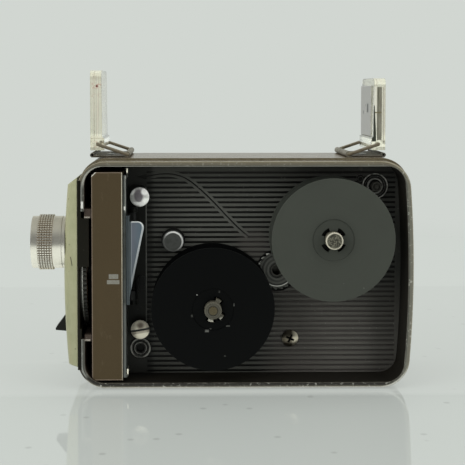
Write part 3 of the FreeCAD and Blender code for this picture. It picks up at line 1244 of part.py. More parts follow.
def floor_block(inset, y0, y1):
    """The film floor's outline, drawn in from the case walls."""
    gap = SMALL_GAP + inset
    block = bowed_block(
        FRONT_INSIDE_X, REAR_X - RIM - gap, y0, y1, INSIDE_BOTTOM_Z + gap, INSIDE_TOP_Z - gap,
        INSIDE_CORNER_RADIUS - gap
    )
    return block.cut(box(FRONT_X, HOUSING_RIGHT_X, y0 - 1, y1 + 1, 0, CASE_TOP_Z))


def rib_grooves():
    """The grooves that leave the ribs standing between them, clear of the film-path line."""
    area = floor_block(RIB_EDGE_GAP, FLOOR_Y - 1, FLOOR_BACK_Y)
    top_z = INSIDE_TOP_Z - FIRST_GROOVE_DROP
    count = int((top_z - INSIDE_BOTTOM_Z) / GROOVE_PITCH) + 1
    half_top = GROOVE_TOP_WIDTH / 2
    half_bottom = GROOVE_BOTTOM_WIDTH / 2
    bars = []
    for index in range(count):
        z = top_z - index * GROOVE_PITCH
        section = [
            (FLOOR_Y - 1, z - half_top),
            (FLOOR_Y - 1, z + half_top),
            (FLOOR_Y, z + half_top),
            (FLOOR_Y + GROOVE_DEPTH, z + half_bottom),
            (FLOOR_Y + GROOVE_DEPTH, z - half_bottom),
            (FLOOR_Y, z - half_top),
        ]
        bars.append(prism_x(section, RIB_START_X, REAR_X - RIM - RIB_END_GAP))
    return area.common(Part.makeCompound(bars)).cut(path_strip(PATH_BAND_WIDTH))


def path_strip(width):
    """The film path as a strip of even width along one smooth line."""
    y0 = FLOOR_Y - 1.1
    y1 = FLOOR_Y + PATH_MARK_DEPTH
    if width > PATH_MARK_WIDTH:
        y1 = FLOOR_BACK_Y
    line = Part.BSplineCurve()
    line.interpolate([Vec(x, 0, z) for x, z in PATH_POINTS])
    span = line.LastParameter - line.FirstParameter
    low_side = []
    high_side = []
    for index in range(PATH_SAMPLES + 1):
        place = line.FirstParameter + span * index / PATH_SAMPLES
        middle = line.value(place)
        along = line.tangent(place)[0]
        low_side.append((middle.x + along.z * width / 2, middle.z - along.x * width / 2))
        high_side.append((middle.x - along.z * width / 2, middle.z + along.x * width / 2))
    return prism_y(low_side + high_side[::-1], y0, y1)


def path_mark():
    """The line pressed into the floor that shows how the film is laid, with its arrowhead."""
    x, z = PATH_POINTS[0]
    half = PATH_ARROW_WIDTH / 2
    head = [(x + 0.4, z - half), (x + 0.4, z + half), (x - PATH_ARROW_LENGTH, z)]
    return [path_strip(PATH_MARK_WIDTH), prism_y(head, FLOOR_Y - 1.1, FLOOR_Y + PATH_MARK_DEPTH)]


def make_film_floor():
    floor = floor_block(0, FLOOR_Y, FLOOR_BACK_Y)
    floor = floor.cut([rib_grooves()] + path_mark())
    cuts = [rod_y(ARBOR_X, ARBOR_Z, RATCHET_OPENING, FLOOR_Y - 1, FLOOR_BACK_Y + 1)]
    for x, z in ((SUPPLY_X, SUPPLY_Z), (TAKEUP_X, TAKEUP_Z)):
        cuts.append(rod_y(x, z, BUSH_RADIUS, FLOOR_Y - 1, FLOOR_BACK_Y + 1))
    cuts.append(rod_y(EMPTY_BOSS_X, EMPTY_BOSS_Z, BOSS_COLLAR_RADIUS, FLOOR_Y - 1, FLOOR_BACK_Y + 1))
    cuts.append(rod_y(FOOTAGE_X, FOOTAGE_Z, FOOTAGE_BUSH_RADIUS, FLOOR_Y - 1, FLOOR_BACK_Y + 1))
    cuts.append(rod_y(EAR_X, EAR_Z, EAR_RIVET_RADIUS, FLOOR_Y - 1, FLOOR_BACK_Y + 1))
    for x, z in screw_places():
        cuts.append(rod_y(x, z, SCREW_THREAD_RADIUS, FLOOR_Y - 1, FLOOR_BACK_Y + 1))
    cuts.append(click_room(FLOOR_Y - 1, FLOOR_BACK_Y + 1))
    return floor.cut(cuts)


def screw_places():
    """Where threads pass the floor into the plate behind it."""
    return [(STUD_X, STUD_Z), (STUD_X, GATE_SCREW_Z), (FLOOR_SCREW_X, FLOOR_SCREW_Z), (POST_X, POST_Z)]


def click_room(y0, y1):
    """The space beside the ratchet wheel where the click swings."""
    x0 = CLICK_X - CLICK_DROP - 1
    x1 = CLICK_X + CLICK_HUB_RADIUS + 1
    return box(x0, x1, y0, y1, CLICK_Z - CLICK_HUB_RADIUS - 1, CLICK_Z + CLICK_HUB_RADIUS + 1.6)


def wedge_y(x, z, inside, outside, middle, span, y0, y1):
    """A ring sector between two radii, centred on an angle in the XZ plane."""
    points = [polar(x, z, inside, middle - span / 2)]
    steps = 6
    for index in range(steps + 1):
        points.append(polar(x, z, outside, middle - span / 2 + span * index / steps))
    for index in range(steps):
        points.append(polar(x, z, inside, middle + span / 2 - span * index / steps))
    return prism_y(points, y0, y1)


def make_spool(x, z, notch_angles):
    near_y = SPOOL_NEAR_Y
    far_y = SPOOL_FAR_Y
    near = rod_y(x, z, SPOOL_RADIUS, near_y, near_y + FLANGE_THICKNESS)
    far = rod_y(x, z, SPOOL_RADIUS, far_y - FLANGE_THICKNESS, far_y)
    core = rod_y(x, z, SPOOL_CORE_RADIUS, near_y, far_y)
    spool = join([near, far, core])
    cuts = [rod_y(x, z, SPOOL_BORE, near_y - 1, far_y + 1)]
    cuts.append(rod_y(x, z, SPOOL_DISH_RADIUS, near_y - 1, near_y + SPOOL_DISH_DEPTH))
    for angle in notch_angles:
        cuts.append(
            wedge_y(
                x, z, SPOOL_BORE - 0.5, SPOOL_NOTCH_RADIUS, angle, SPOOL_NOTCH_ANGLE, near_y - 1,
                near_y + SPOOL_NOTCH_DEPTH
            )
        )
    return spool.cut(cuts)


def make_supply_spool():
    return make_spool(SUPPLY_X, SUPPLY_Z, [45, 135, 225, 315])


def make_takeup_spool():
    return make_spool(TAKEUP_X, TAKEUP_Z, LUG_ANGLES)


def spindle(x, z, tail_y):
    """A spool spindle: a round post on a flange, with a thin shaft behind it."""
    post = rod_y(x, z, SPINDLE_RADIUS, SPINDLE_TOP_Y, BUSH_TOP_Y - FIT_GAP)
    post = post.makeChamfer(0.35, edges_at_y(post, SPINDLE_TOP_Y))
    flange = rod_y(x, z, SPINDLE_FLANGE_RADIUS, SPINDLE_FLANGE_Y, BUSH_TOP_Y - FIT_GAP)
    shaft = rod_y(x, z, SPINDLE_SHAFT_RADIUS, BUSH_TOP_Y - FIT_GAP - 0.5, tail_y)
    return join([post, flange, shaft])


def make_supply_spindle():
    return spindle(SUPPLY_X, SUPPLY_Z, TRAIN_Y + SPINDLE_TAIL)


def make_takeup_spindle():
    parts = [spindle(TAKEUP_X, TAKEUP_Z, BACK_PLATE_END_Y)]
    for angle in LUG_ANGLES:
        lug_end_y = SPOOL_NEAR_Y + LUG_LENGTH / 2
        parts.append(
            wedge_y(
                TAKEUP_X, TAKEUP_Z, SPINDLE_RADIUS - 0.5, LUG_REACH, angle, LUG_ANGLE,
                lug_end_y - LUG_LENGTH, lug_end_y
            )
        )
    body = join(parts)
    return body.cut(rod_y(TAKEUP_X, TAKEUP_Z, RIVET_RADIUS, SPINDLE_TOP_Y - 1, SPINDLE_TOP_Y + 3))


def make_takeup_rivet():
    rivet = rod_y(TAKEUP_X, TAKEUP_Z, RIVET_RADIUS, SPINDLE_TOP_Y - RIVET_PROUD, SPINDLE_TOP_Y + 3)
    return rivet.makeFillet(0.35, edges_at_y(rivet, SPINDLE_TOP_Y - RIVET_PROUD))


def make_spindle_bushes():
    bushes = []
    for x, z in ((SUPPLY_X, SUPPLY_Z), (TAKEUP_X, TAKEUP_Z)):
        bore = SPINDLE_SHAFT_RADIUS + FIT_GAP
        neck = ring_y(x, z, BUSH_RADIUS, bore, BUSH_TOP_Y, TRAIN_Y)
        flange = ring_y(x, z, BUSH_FLANGE_RADIUS, bore, BUSH_TOP_Y, FLOOR_Y)
        bushes.append(join([neck, flange]))
    return Part.makeCompound(bushes)


def pivot_places():
    """Axes of the train that turn in both mechanism plates."""
    return [(SECOND_X, SECOND_Z), (CROWN_X, CROWN_Z), (GOVERNOR_X, GOVERNOR_Z)]


def make_mechanism_front():
    plate = outline(
        PLATE_LEFT_X, PLATE_RIGHT_X, FRONT_PLATE_Y, TRAIN_Y, PLATE_BOTTOM_Z, PLATE_TOP_Z, PLATE_CORNER
    )
    cuts = [rod_y(x, z, PINION_SHAFT + FIT_GAP, FRONT_PLATE_Y - 1, TRAIN_Y + 1) for x, z in pivot_places()]
    for x, z in ((SUPPLY_X, SUPPLY_Z), (TAKEUP_X, TAKEUP_Z)):
        cuts.append(rod_y(x, z, BUSH_RADIUS, FRONT_PLATE_Y - 1, TRAIN_Y + 1))
    cuts.append(rod_y(ARBOR_X, ARBOR_Z, ARBOR_TIP_RADIUS + FIT_GAP, FRONT_PLATE_Y - 1, TRAIN_Y + 1))
    cuts.append(rod_y(FOOTAGE_X, FOOTAGE_Z, FOOTAGE_BUSH_RADIUS, FRONT_PLATE_Y - 1, TRAIN_Y + 1))
    cuts.append(rod_y(EAR_X, EAR_Z, EAR_RIVET_RADIUS, FRONT_PLATE_Y - 1, TRAIN_Y + 1))
    cuts.append(rod_y(CLICK_X, CLICK_Z, CLICK_PIVOT_RADIUS, FRONT_PLATE_Y - 1, TRAIN_Y + 1))
    for x, z in screw_places():
        cuts.append(rod_y(x, z, SCREW_THREAD_RADIUS, FRONT_PLATE_Y - 1, TRAIN_Y + 1))
    return plate.cut(cuts)


def make_mechanism_back():
    y0 = BACK_PLATE_Y
    y1 = BACK_PLATE_END_Y
    plate = outline(PLATE_LEFT_X, PLATE_RIGHT_X, y0, y1, PLATE_BOTTOM_Z, PLATE_TOP_Z, PLATE_CORNER)
    cuts = [rod_y(x, z, PINION_SHAFT + FIT_GAP, y0 - 1, y1 + 1) for x, z in pivot_places()]
    cuts.append(rod_y(TAKEUP_X, TAKEUP_Z, SPINDLE_SHAFT_RADIUS + FIT_GAP, y0 - 1, y1 + 1))
    cuts.append(rod_y(ARBOR_X, ARBOR_Z, KEY_SHAFT_RADIUS + FIT_GAP, y0 - 1, y1 + 1))
    cuts.append(rod_y(FOOTAGE_X, FOOTAGE_Z, FOOTAGE_SHAFT_RADIUS + FIT_GAP, y0 - 1, y1 + 1))
    return plate.cut(cuts)


def make_pillars():
    return Part.makeCompound([rod_y(x, z, PILLAR_RADIUS, TRAIN_Y, BACK_PLATE_Y) for x, z in PILLAR_PLACES])


def make_spring_barrel():
    drum = rod_y(ARBOR_X, ARBOR_Z, BARREL_RADIUS, BARREL_START_Y, BARREL_END_Y)
    teeth = prism_y(
        gear_outline(ARBOR_X, ARBOR_Z, BARREL_TEETH, MODULE, BARREL_PHASE), BARREL_GEAR_Y, BARREL_END_Y
    )
    barrel = join([drum, teeth])
    room = rod_y(ARBOR_X, ARBOR_Z, BARREL_RADIUS - BARREL_WALL, BARREL_START_Y - 1, BARREL_GEAR_Y)
    return barrel.cut(
        [room, rod_y(ARBOR_X, ARBOR_Z, ARBOR_RADIUS + FIT_GAP, BARREL_START_Y, BARREL_END_Y + 1)]
    )


def make_barrel_cap():
    outside = BARREL_RADIUS - BARREL_WALL
    return ring_y(
        ARBOR_X, ARBOR_Z, outside, ARBOR_RADIUS + FIT_GAP, BARREL_START_Y, BARREL_START_Y + BARREL_WALL
    )


def make_mainspring():
    """The spring strip, wound as half rings that grow and change centre."""
    y0 = BARREL_START_Y + BARREL_WALL + SMALL_GAP
    y1 = BARREL_GEAR_Y - SMALL_GAP
    outside = BARREL_RADIUS - BARREL_WALL
    growth = (outside - MAINSPRING_INSIDE - MAINSPRING_THICKNESS) / (2 * MAINSPRING_TURNS)
    radius = MAINSPRING_INSIDE
    centre_x = ARBOR_X
    pieces = []
    for half_turn in range(2 * MAINSPRING_TURNS):
        ring = ring_y(centre_x, ARBOR_Z, radius + MAINSPRING_THICKNESS, radius, y0, y1)
        reach = outside + 5
        if half_turn % 2:
            side = box(ARBOR_X - reach, ARBOR_X + reach, y0 - 1, y1 + 1, ARBOR_Z - reach, ARBOR_Z)
            centre_x = centre_x + growth / 2
        else:
            side = box(ARBOR_X - reach, ARBOR_X + reach, y0 - 1, y1 + 1, ARBOR_Z, ARBOR_Z + reach)
            centre_x = centre_x - growth / 2
        pieces.append(ring.common(side))
        radius = radius + growth / 2
    return join(pieces)


def make_winding_arbor():
    tip_y = RATCHET_NEAR_Y + ARBOR_TIP_DROP
    front = rod_y(ARBOR_X, ARBOR_Z, ARBOR_TIP_RADIUS, tip_y, TRAIN_Y + 1)
    main = rod_y(ARBOR_X, ARBOR_Z, ARBOR_RADIUS, TRAIN_Y + FIT_GAP, BACK_PLATE_Y - FIT_GAP)
    core_y0 = BARREL_START_Y + BARREL_WALL + SMALL_GAP
    core = rod_y(ARBOR_X, ARBOR_Z, ARBOR_CORE_RADIUS, core_y0, BARREL_GEAR_Y - SMALL_GAP)
    tail = rod_y(ARBOR_X, ARBOR_Z, KEY_SHAFT_RADIUS, BACK_PLATE_Y - 1, KEY_FACE_Y - 0.6)
    hole = rod_y(ARBOR_X, ARBOR_Z, ARBOR_HOLE_RADIUS, tip_y - 1, tip_y + ARBOR_HOLE_DEPTH)
    return join([front, main, core, tail]).cut(hole)


def make_ratchet_wheel():
    points = []
    for index in range(RATCHET_TEETH):
        for radius, share in [
            (RATCHET_RADIUS - RATCHET_TOOTH, 0), (RATCHET_RADIUS, 0.75), (RATCHET_RADIUS, 0.95)
        ]:
            points.append(polar(ARBOR_X, ARBOR_Z, radius, (index + share) * 360 / RATCHET_TEETH))
    wheel = prism_y(points, RATCHET_NEAR_Y, RATCHET_NEAR_Y + RATCHET_THICKNESS)
    hub = rod_y(ARBOR_X, ARBOR_Z, RATCHET_HUB_RADIUS, RATCHET_NEAR_Y - RATCHET_HUB, RATCHET_NEAR_Y + 0.5)
    wheel = join([wheel, hub])
    recess = rod_y(ARBOR_X, ARBOR_Z, RATCHET_RECESS_RADIUS, RATCHET_NEAR_Y - 1, RATCHET_NEAR_Y + 0.5)
    bore = rod_y(ARBOR_X, ARBOR_Z, ARBOR_TIP_RADIUS, RATCHET_NEAR_Y - 1, FLOOR_BACK_Y)
    return wheel.cut([recess, bore])


def make_click():
    """The click: a hub on its pivot and a nose that looks at the ratchet teeth."""
    y1 = FRONT_PLATE_Y - FIT_GAP
    y0 = y1 - CLICK_THICKNESS
    hub = rod_y(CLICK_X, CLICK_Z, CLICK_HUB_RADIUS, y0, y1)
    gap = RATCHET_RADIUS + MOVING_GAP
    nose_x, nose_z = polar(ARBOR_X, ARBOR_Z, gap, CLICK_ANGLE + CLICK_NOSE_ANGLE)
    side_x, side_z = polar(ARBOR_X, ARBOR_Z, gap + CLICK_WIDTH, CLICK_ANGLE + CLICK_NOSE_ANGLE)
    low_x, low_z = polar(CLICK_X, CLICK_Z, CLICK_HUB_RADIUS - 0.3, CLICK_ANGLE + 150)
    high_x, high_z = polar(CLICK_X, CLICK_Z, CLICK_HUB_RADIUS - 0.3, CLICK_ANGLE + 60)
    arm = prism_y([(low_x, low_z), (high_x, high_z), (side_x, side_z), (nose_x, nose_z)], y0, y1)
    return join([hub, arm]).cut(rod_y(CLICK_X, CLICK_Z, CLICK_PIVOT_RADIUS + FIT_GAP, y0 - 1, y1 + 1))


def make_click_pin():
    y1 = FRONT_PLATE_Y - FIT_GAP
    pin = rod_y(CLICK_X, CLICK_Z, CLICK_PIVOT_RADIUS, y1 - CLICK_THICKNESS - FIT_GAP, TRAIN_Y)
    head = rod_y(
        CLICK_X, CLICK_Z, CLICK_PIVOT_RADIUS + 0.6, y1 - CLICK_THICKNESS - 0.25,
        y1 - CLICK_THICKNESS - FIT_GAP
    )
    return join([pin, head])


def make_second_wheel():
    wheel_y1 = SECOND_WHEEL_Y + WHEEL_WIDTH
    arbor = rod_y(SECOND_X, SECOND_Z, PINION_SHAFT, FRONT_PLATE_Y, BACK_PLATE_END_Y)
    phase = mesh_phase(
        ARBOR_X, ARBOR_Z, BARREL_TEETH, BARREL_PHASE, SECOND_X, SECOND_Z, SECOND_PINION_TEETH
    )
    pinion = prism_y(
        gear_outline(SECOND_X, SECOND_Z, SECOND_PINION_TEETH, MODULE, phase), BARREL_GEAR_Y - 0.3,
        BARREL_END_Y + 0.3
    )
    wheel = prism_y(
        gear_outline(SECOND_X, SECOND_Z, SECOND_WHEEL_TEETH, WHEEL_MODULE, 180), SECOND_WHEEL_Y, wheel_y1
    )
    hub = rod_y(SECOND_X, SECOND_Z, 2.6, BARREL_END_Y, wheel_y1 + 0.4)
    return join([arbor, pinion, wheel, hub]).cut(
        spoke_holes(SECOND_X, SECOND_Z, 8.6, 3.2, SECOND_WHEEL_Y, wheel_y1)
    )


def spoke_holes(x, z, distance, radius, y0, y1):
    """Five round holes that lighten a wheel."""
    holes = []
    for index in range(5):
        hole_x, hole_z = polar(x, z, distance, 90 + index * 72)
        holes.append(rod_y(hole_x, hole_z, radius, y0 - 0.01, y1 + 0.01))
    return holes


def make_crown_wheel():
    """The third arbor: pinion, crown wheel for the shutter and governor wheel."""
    arbor = rod_y(CROWN_X, CROWN_Z, PINION_SHAFT, FRONT_PLATE_Y, BACK_PLATE_END_Y)
    phase = mesh_phase(SECOND_X, SECOND_Z, SECOND_WHEEL_TEETH, 180, CROWN_X, CROWN_Z, CROWN_PINION_TEETH)
    pinion_y1 = SECOND_WHEEL_Y + WHEEL_WIDTH + 0.3
    pinion = prism_y(
        gear_outline(CROWN_X, CROWN_Z, CROWN_PINION_TEETH, WHEEL_MODULE, phase), CROWN_DISC_END_Y, pinion_y1
    )
    outside = CROWN_PITCH_RADIUS + CROWN_FACE / 2
    disc = rod_y(CROWN_X, CROWN_Z, outside, CROWN_DISC_Y, CROWN_DISC_END_Y)
    parts = [arbor, pinion, disc]
    half = CROWN_TOOTH_WIDTH / 2
    for index in range(CROWN_TEETH):
        tooth = box(
            CROWN_X - outside, CROWN_X - outside + CROWN_FACE, CROWN_TIP_Y, CROWN_DISC_Y + 0.1,
            CROWN_Z - half, CROWN_Z + half
        )
        tooth.rotate(Vec(CROWN_X, 0, CROWN_Z), Vec(0, 1, 0), index * 360 / CROWN_TEETH)
        parts.append(tooth)
    wheel_y1 = GOVERNOR_WHEEL_Y + GOVERNOR_WHEEL_WIDTH
    teeth = gear_outline(CROWN_X, CROWN_Z, GOVERNOR_WHEEL_TEETH, WHEEL_MODULE, GOVERNOR_ANGLE)
    parts.append(prism_y(teeth, GOVERNOR_WHEEL_Y, wheel_y1))
    parts.append(rod_y(CROWN_X, CROWN_Z, 2.2, pinion_y1 - 0.1, wheel_y1 + 0.4))
    return join(parts).cut(spoke_holes(CROWN_X, CROWN_Z, 7.2, 2.6, GOVERNOR_WHEEL_Y, wheel_y1))


def make_governor():
    arbor = rod_y(GOVERNOR_X, GOVERNOR_Z, PINION_SHAFT, FRONT_PLATE_Y, BACK_PLATE_END_Y)
    phase = mesh_phase(
        CROWN_X, CROWN_Z, GOVERNOR_WHEEL_TEETH, GOVERNOR_ANGLE, GOVERNOR_X, GOVERNOR_Z, GOVERNOR_TEETH
    )
    pinion_y1 = GOVERNOR_WHEEL_Y + GOVERNOR_WHEEL_WIDTH + 0.3
    teeth = gear_outline(GOVERNOR_X, GOVERNOR_Z, GOVERNOR_TEETH, WHEEL_MODULE, phase)
    pinion = prism_y(teeth, GOVERNOR_WHEEL_Y - 0.3, pinion_y1)
    drum = rod_y(GOVERNOR_X, GOVERNOR_Z, GOVERNOR_RADIUS, pinion_y1 + 1, pinion_y1 + 1 + GOVERNOR_LENGTH)
    room = ring_y(
        GOVERNOR_X, GOVERNOR_Z, GOVERNOR_RADIUS - 0.8, 2.2, pinion_y1 + 2, pinion_y1 + 2 + GOVERNOR_LENGTH
    )
    return join([arbor, pinion, drum.cut(room)])


def make_shutter_bridge():
    """The bridge that carries the shutter's shaft in two bearings."""
    low = SHUTTER_Z - BRIDGE_HALF_HEIGHT
    high = SHUTTER_Z + BRIDGE_HALF_HEIGHT
    back = BACK_PLATE_END_Y + BRIDGE_WALL
    front_wall = box(BRIDGE_FRONT_X, BRIDGE_FRONT_X + BRIDGE_WALL, BRIDGE_NEAR_Y, back, low, high)
    rear_wall = box(BRIDGE_REAR_X - BRIDGE_WALL, BRIDGE_REAR_X, BRIDGE_NEAR_Y, back, low, high)
    web = box(BRIDGE_FRONT_X, BRIDGE_END_X, BACK_PLATE_END_Y, back, low, high)
    claw_back = CLAW_X + CLAW_THICKNESS + FIT_GAP
    guide_y = SHUTTER_Y + CAM_RADIUS + CAM_OFFSET + MOVING_GAP
    guide = box(
        claw_back, BRIDGE_REAR_X - BRIDGE_WALL + 0.1, guide_y + 0.2, guide_y + CLAW_FRAME - 0.2,
        SHUTTER_Z - 4, SHUTTER_Z + 4
    )
    bridge = join([front_wall, rear_wall, web, guide])
    return bridge.cut(
        rod_x(SHUTTER_Y, SHUTTER_Z, SHUTTER_SHAFT_RADIUS + FIT_GAP, BRIDGE_FRONT_X - 1, BRIDGE_REAR_X + 1)
    )


def make_shutter_shaft():
    end_x = CROWN_X - CROWN_PITCH_RADIUS + CROWN_FACE / 2 + 0.4
    shaft = rod_x(SHUTTER_Y, SHUTTER_Z, SHUTTER_SHAFT_RADIUS, BRIDGE_FRONT_X, end_x)
    module = 2 * CROWN_PITCH_RADIUS / CROWN_TEETH
    teeth = gear_outline(SHUTTER_Y, SHUTTER_Z, SHUTTER_TEETH, module, 180 / SHUTTER_TEETH)
    pinion = prism_x(teeth, end_x - CROWN_FACE - 0.8, end_x)
    cam = rod_x(SHUTTER_Y, SHUTTER_Z + CAM_OFFSET, CAM_RADIUS, CAM_X, CAM_X + CAM_THICKNESS)
    hub_x = SHUTTER_X + SHUTTER_THICKNESS
    hub = rod_x(SHUTTER_Y, SHUTTER_Z, SHUTTER_HUB_RADIUS, hub_x, CAM_X)
    return join([shaft, pinion, cam, hub])


def make_shutter_disc():
    disc = ring_x(
        SHUTTER_Y, SHUTTER_Z, SHUTTER_RADIUS, SHUTTER_SHAFT_RADIUS, SHUTTER_X, SHUTTER_X + SHUTTER_THICKNESS
    )
    towards_lens = math.degrees(math.atan2(LENS_Z - SHUTTER_Z, LENS_Y - SHUTTER_Y))
    points = [polar(SHUTTER_Y, SHUTTER_Z, SHUTTER_HUB_RADIUS + 1.5, towards_lens)]
    steps = 10
    for index in range(steps + 1):
        angle = towards_lens + SHUTTER_OPEN_ANGLE * (index / steps - 0.5)
        points.append(polar(SHUTTER_Y, SHUTTER_Z, SHUTTER_RADIUS + 3, angle))
    return disc.cut(prism_x(points, SHUTTER_X - 1, SHUTTER_X + 1))


def make_claw():
    """A frame around the shaft's eccentric, with an arm and two film teeth."""
    half_y = CAM_RADIUS + CAM_OFFSET + MOVING_GAP
    half_z = half_y + CLAW_TRAVEL
    x1 = CLAW_X + CLAW_THICKNESS
    outer_y = half_y + CLAW_FRAME
    outer_z = half_z + CLAW_FRAME
    frame = box(
        CLAW_X, x1, SHUTTER_Y - outer_y, SHUTTER_Y + outer_y, SHUTTER_Z - outer_z, SHUTTER_Z + outer_z
    )
    hole = box(
        CLAW_X - 1, x1 + 1, SHUTTER_Y - half_y, SHUTTER_Y + half_y, SHUTTER_Z - half_z, SHUTTER_Z + half_z
    )
    tooth_y0 = CLAW_SLOT_Y - CLAW_TOOTH_WIDTH / 2
    arm = box(CLAW_X, x1, tooth_y0, SHUTTER_Y - half_y, CLAW_TOOTH_Z - 1.4, CLAW_TOOTH_Z + 1.4)
    tooth = box(
        CLAW_X, APERTURE_FACE_X + CLAW_TOOTH_PROUD, tooth_y0, tooth_y0 + CLAW_TOOTH_WIDTH,
        CLAW_TOOTH_Z - CLAW_TOOTH_HEIGHT / 2, CLAW_TOOTH_Z + CLAW_TOOTH_HEIGHT / 2
    )
    return join([frame.cut(hole), arm, tooth])


def make_takeup_gear():
    phase = mesh_phase(ARBOR_X, ARBOR_Z, BARREL_TEETH, BARREL_PHASE, TAKEUP_X, TAKEUP_Z, TAKEUP_TEETH)
    teeth = gear_outline(TAKEUP_X, TAKEUP_Z, TAKEUP_TEETH, TAKEUP_MODULE, phase)
    gear = prism_y(teeth, BARREL_GEAR_Y + 0.1, BARREL_END_Y - 0.1)
    hub = rod_y(TAKEUP_X, TAKEUP_Z, 3.2, BARREL_GEAR_Y - 2, BARREL_END_Y + 1)
    return join([gear, hub]).cut(
        rod_y(TAKEUP_X, TAKEUP_Z, SPINDLE_SHAFT_RADIUS, BARREL_GEAR_Y - 3, BARREL_END_Y + 2)
    )


def make_footage_boss():
    top_y = FLOOR_Y - FOOTAGE_BOSS_HEIGHT
    flange = rod_y(FOOTAGE_X, FOOTAGE_Z, FOOTAGE_BOSS_RADIUS, top_y, FLOOR_Y)
    flange = flange.makeChamfer(0.25, edges_at_y(flange, top_y))
    groove = ring_y(
        FOOTAGE_X, FOOTAGE_Z, FOOTAGE_GROOVE_OUTSIDE, FOOTAGE_GROOVE_INSIDE, top_y - 1,
        top_y + FOOTAGE_GROOVE
    )
    ear_top = FLOOR_Y - 0.4
    ear = rod_y(EAR_X, EAR_Z, EAR_RADIUS, ear_top, FLOOR_Y)
    length = math.hypot(FOOTAGE_X - EAR_X, FOOTAGE_Z - EAR_Z)
    bridge = box(
        EAR_X, EAR_X + length, ear_top, FLOOR_Y, EAR_Z - EAR_RADIUS + 0.2, EAR_Z + EAR_RADIUS - 0.2
    )
    angle = math.degrees(math.atan2(FOOTAGE_Z - EAR_Z, FOOTAGE_X - EAR_X))
    bridge.rotate(Vec(EAR_X, 0, EAR_Z), Vec(0, -1, 0), angle)
    rivet = rod_y(EAR_X, EAR_Z, EAR_RIVET_RADIUS, ear_top - 0.35, TRAIN_Y)
    neck = rod_y(FOOTAGE_X, FOOTAGE_Z, FOOTAGE_BUSH_RADIUS, FLOOR_Y, TRAIN_Y)
    boss = join([flange, ear, bridge, rivet, neck])
    bore = rod_y(FOOTAGE_X, FOOTAGE_Z, FOOTAGE_SHAFT_RADIUS + FIT_GAP, top_y - 1, TRAIN_Y + 1)
    return boss.cut([groove, bore])


def make_footage_arm():
    """The arm that rests on the supply film, its long shaft and the counter dial."""
    hub_end = FLOOR_Y - FOOTAGE_BOSS_HEIGHT - FIT_GAP
    hub = rod_y(FOOTAGE_X, FOOTAGE_Z, FOOTAGE_HUB_RADIUS, FOOTAGE_HUB_TOP_Y, hub_end)
    arm_y1 = FOOTAGE_HUB_TOP_Y + FOOTAGE_ARM_WIDTH
    half = FOOTAGE_ARM_THICKNESS / 2
    blade = box(
        FOOTAGE_X, FOOTAGE_X + FOOTAGE_ARM_LENGTH, FOOTAGE_HUB_TOP_Y, arm_y1, FOOTAGE_Z - half,
        FOOTAGE_Z + half
    )
    angle = math.degrees(math.atan2(SUPPLY_Z - FOOTAGE_Z, SUPPLY_X - FOOTAGE_X))
    blade.rotate(Vec(FOOTAGE_X, 0, FOOTAGE_Z), Vec(0, -1, 0), angle)
    shoe_x, shoe_z = polar(FOOTAGE_X, FOOTAGE_Z, FOOTAGE_ARM_LENGTH, angle)
    shoe = rod_y(shoe_x, shoe_z, FOOTAGE_SHOE_RADIUS, FOOTAGE_HUB_TOP_Y, arm_y1)
    recess = rod_y(
        FOOTAGE_X, FOOTAGE_Z, FOOTAGE_RECESS_RADIUS, FOOTAGE_HUB_TOP_Y - 1,
        FOOTAGE_HUB_TOP_Y + FOOTAGE_RECESS
    )
    arm = join([hub, blade, shoe]).cut(recess)
    dial_y1 = BACK_INSIDE_Y - SMALL_GAP
    shaft_y = FOOTAGE_HUB_TOP_Y + FOOTAGE_SHAFT_DROP
    shaft = rod_y(FOOTAGE_X, FOOTAGE_Z, FOOTAGE_SHAFT_RADIUS, shaft_y, dial_y1)
    dial = rod_y(FOOTAGE_X, FOOTAGE_Z, FOOTAGE_DIAL_RADIUS, dial_y1 - FOOTAGE_DIAL, dial_y1)
    return join([arm, shaft, dial])


def make_key_hub():
    y0 = BACK_Y + SMALL_GAP
    hub = rod_y(ARBOR_X, ARBOR_Z, KEY_HUB_RADIUS, y0, KEY_FACE_Y)
    hub = hub.makeChamfer(0.5, edges_at_y(hub, KEY_FACE_Y))
    parts = [hub]
    for side in (-1, 1):
        inner = ARBOR_X + side * (KEY_HANDLE_WIDTH / 2 + SMALL_GAP)
        outer = inner + side * KEY_EAR_THICKNESS
        ear = box(
            min(inner, outer), max(inner, outer), KEY_FACE_Y - 0.5, KEY_FACE_Y + KEY_EAR_HEIGHT,
            ARBOR_Z - KEY_EAR_WIDTH / 2, ARBOR_Z + KEY_EAR_WIDTH / 2
        )
        ear_top_y = KEY_FACE_Y + KEY_EAR_HEIGHT
        top = [e for e in edges_along(ear, Vec(1, 0, 0)) if abs(e.Vertexes[0].Point.y - ear_top_y) < 1e-6]
        parts.append(ear.makeFillet(1.8, top))
    hub = join(parts)
    bore = rod_y(ARBOR_X, ARBOR_Z, KEY_SHAFT_RADIUS, y0 - 1, KEY_FACE_Y - 0.6)
    reach = KEY_HANDLE_WIDTH / 2 + KEY_EAR_THICKNESS + 1
    pin_bore = rod_x(KEY_PIN_Y, ARBOR_Z, KEY_PIN_RADIUS + FIT_GAP, ARBOR_X - reach, ARBOR_X + reach)
    return hub.cut([bore, pin_bore])


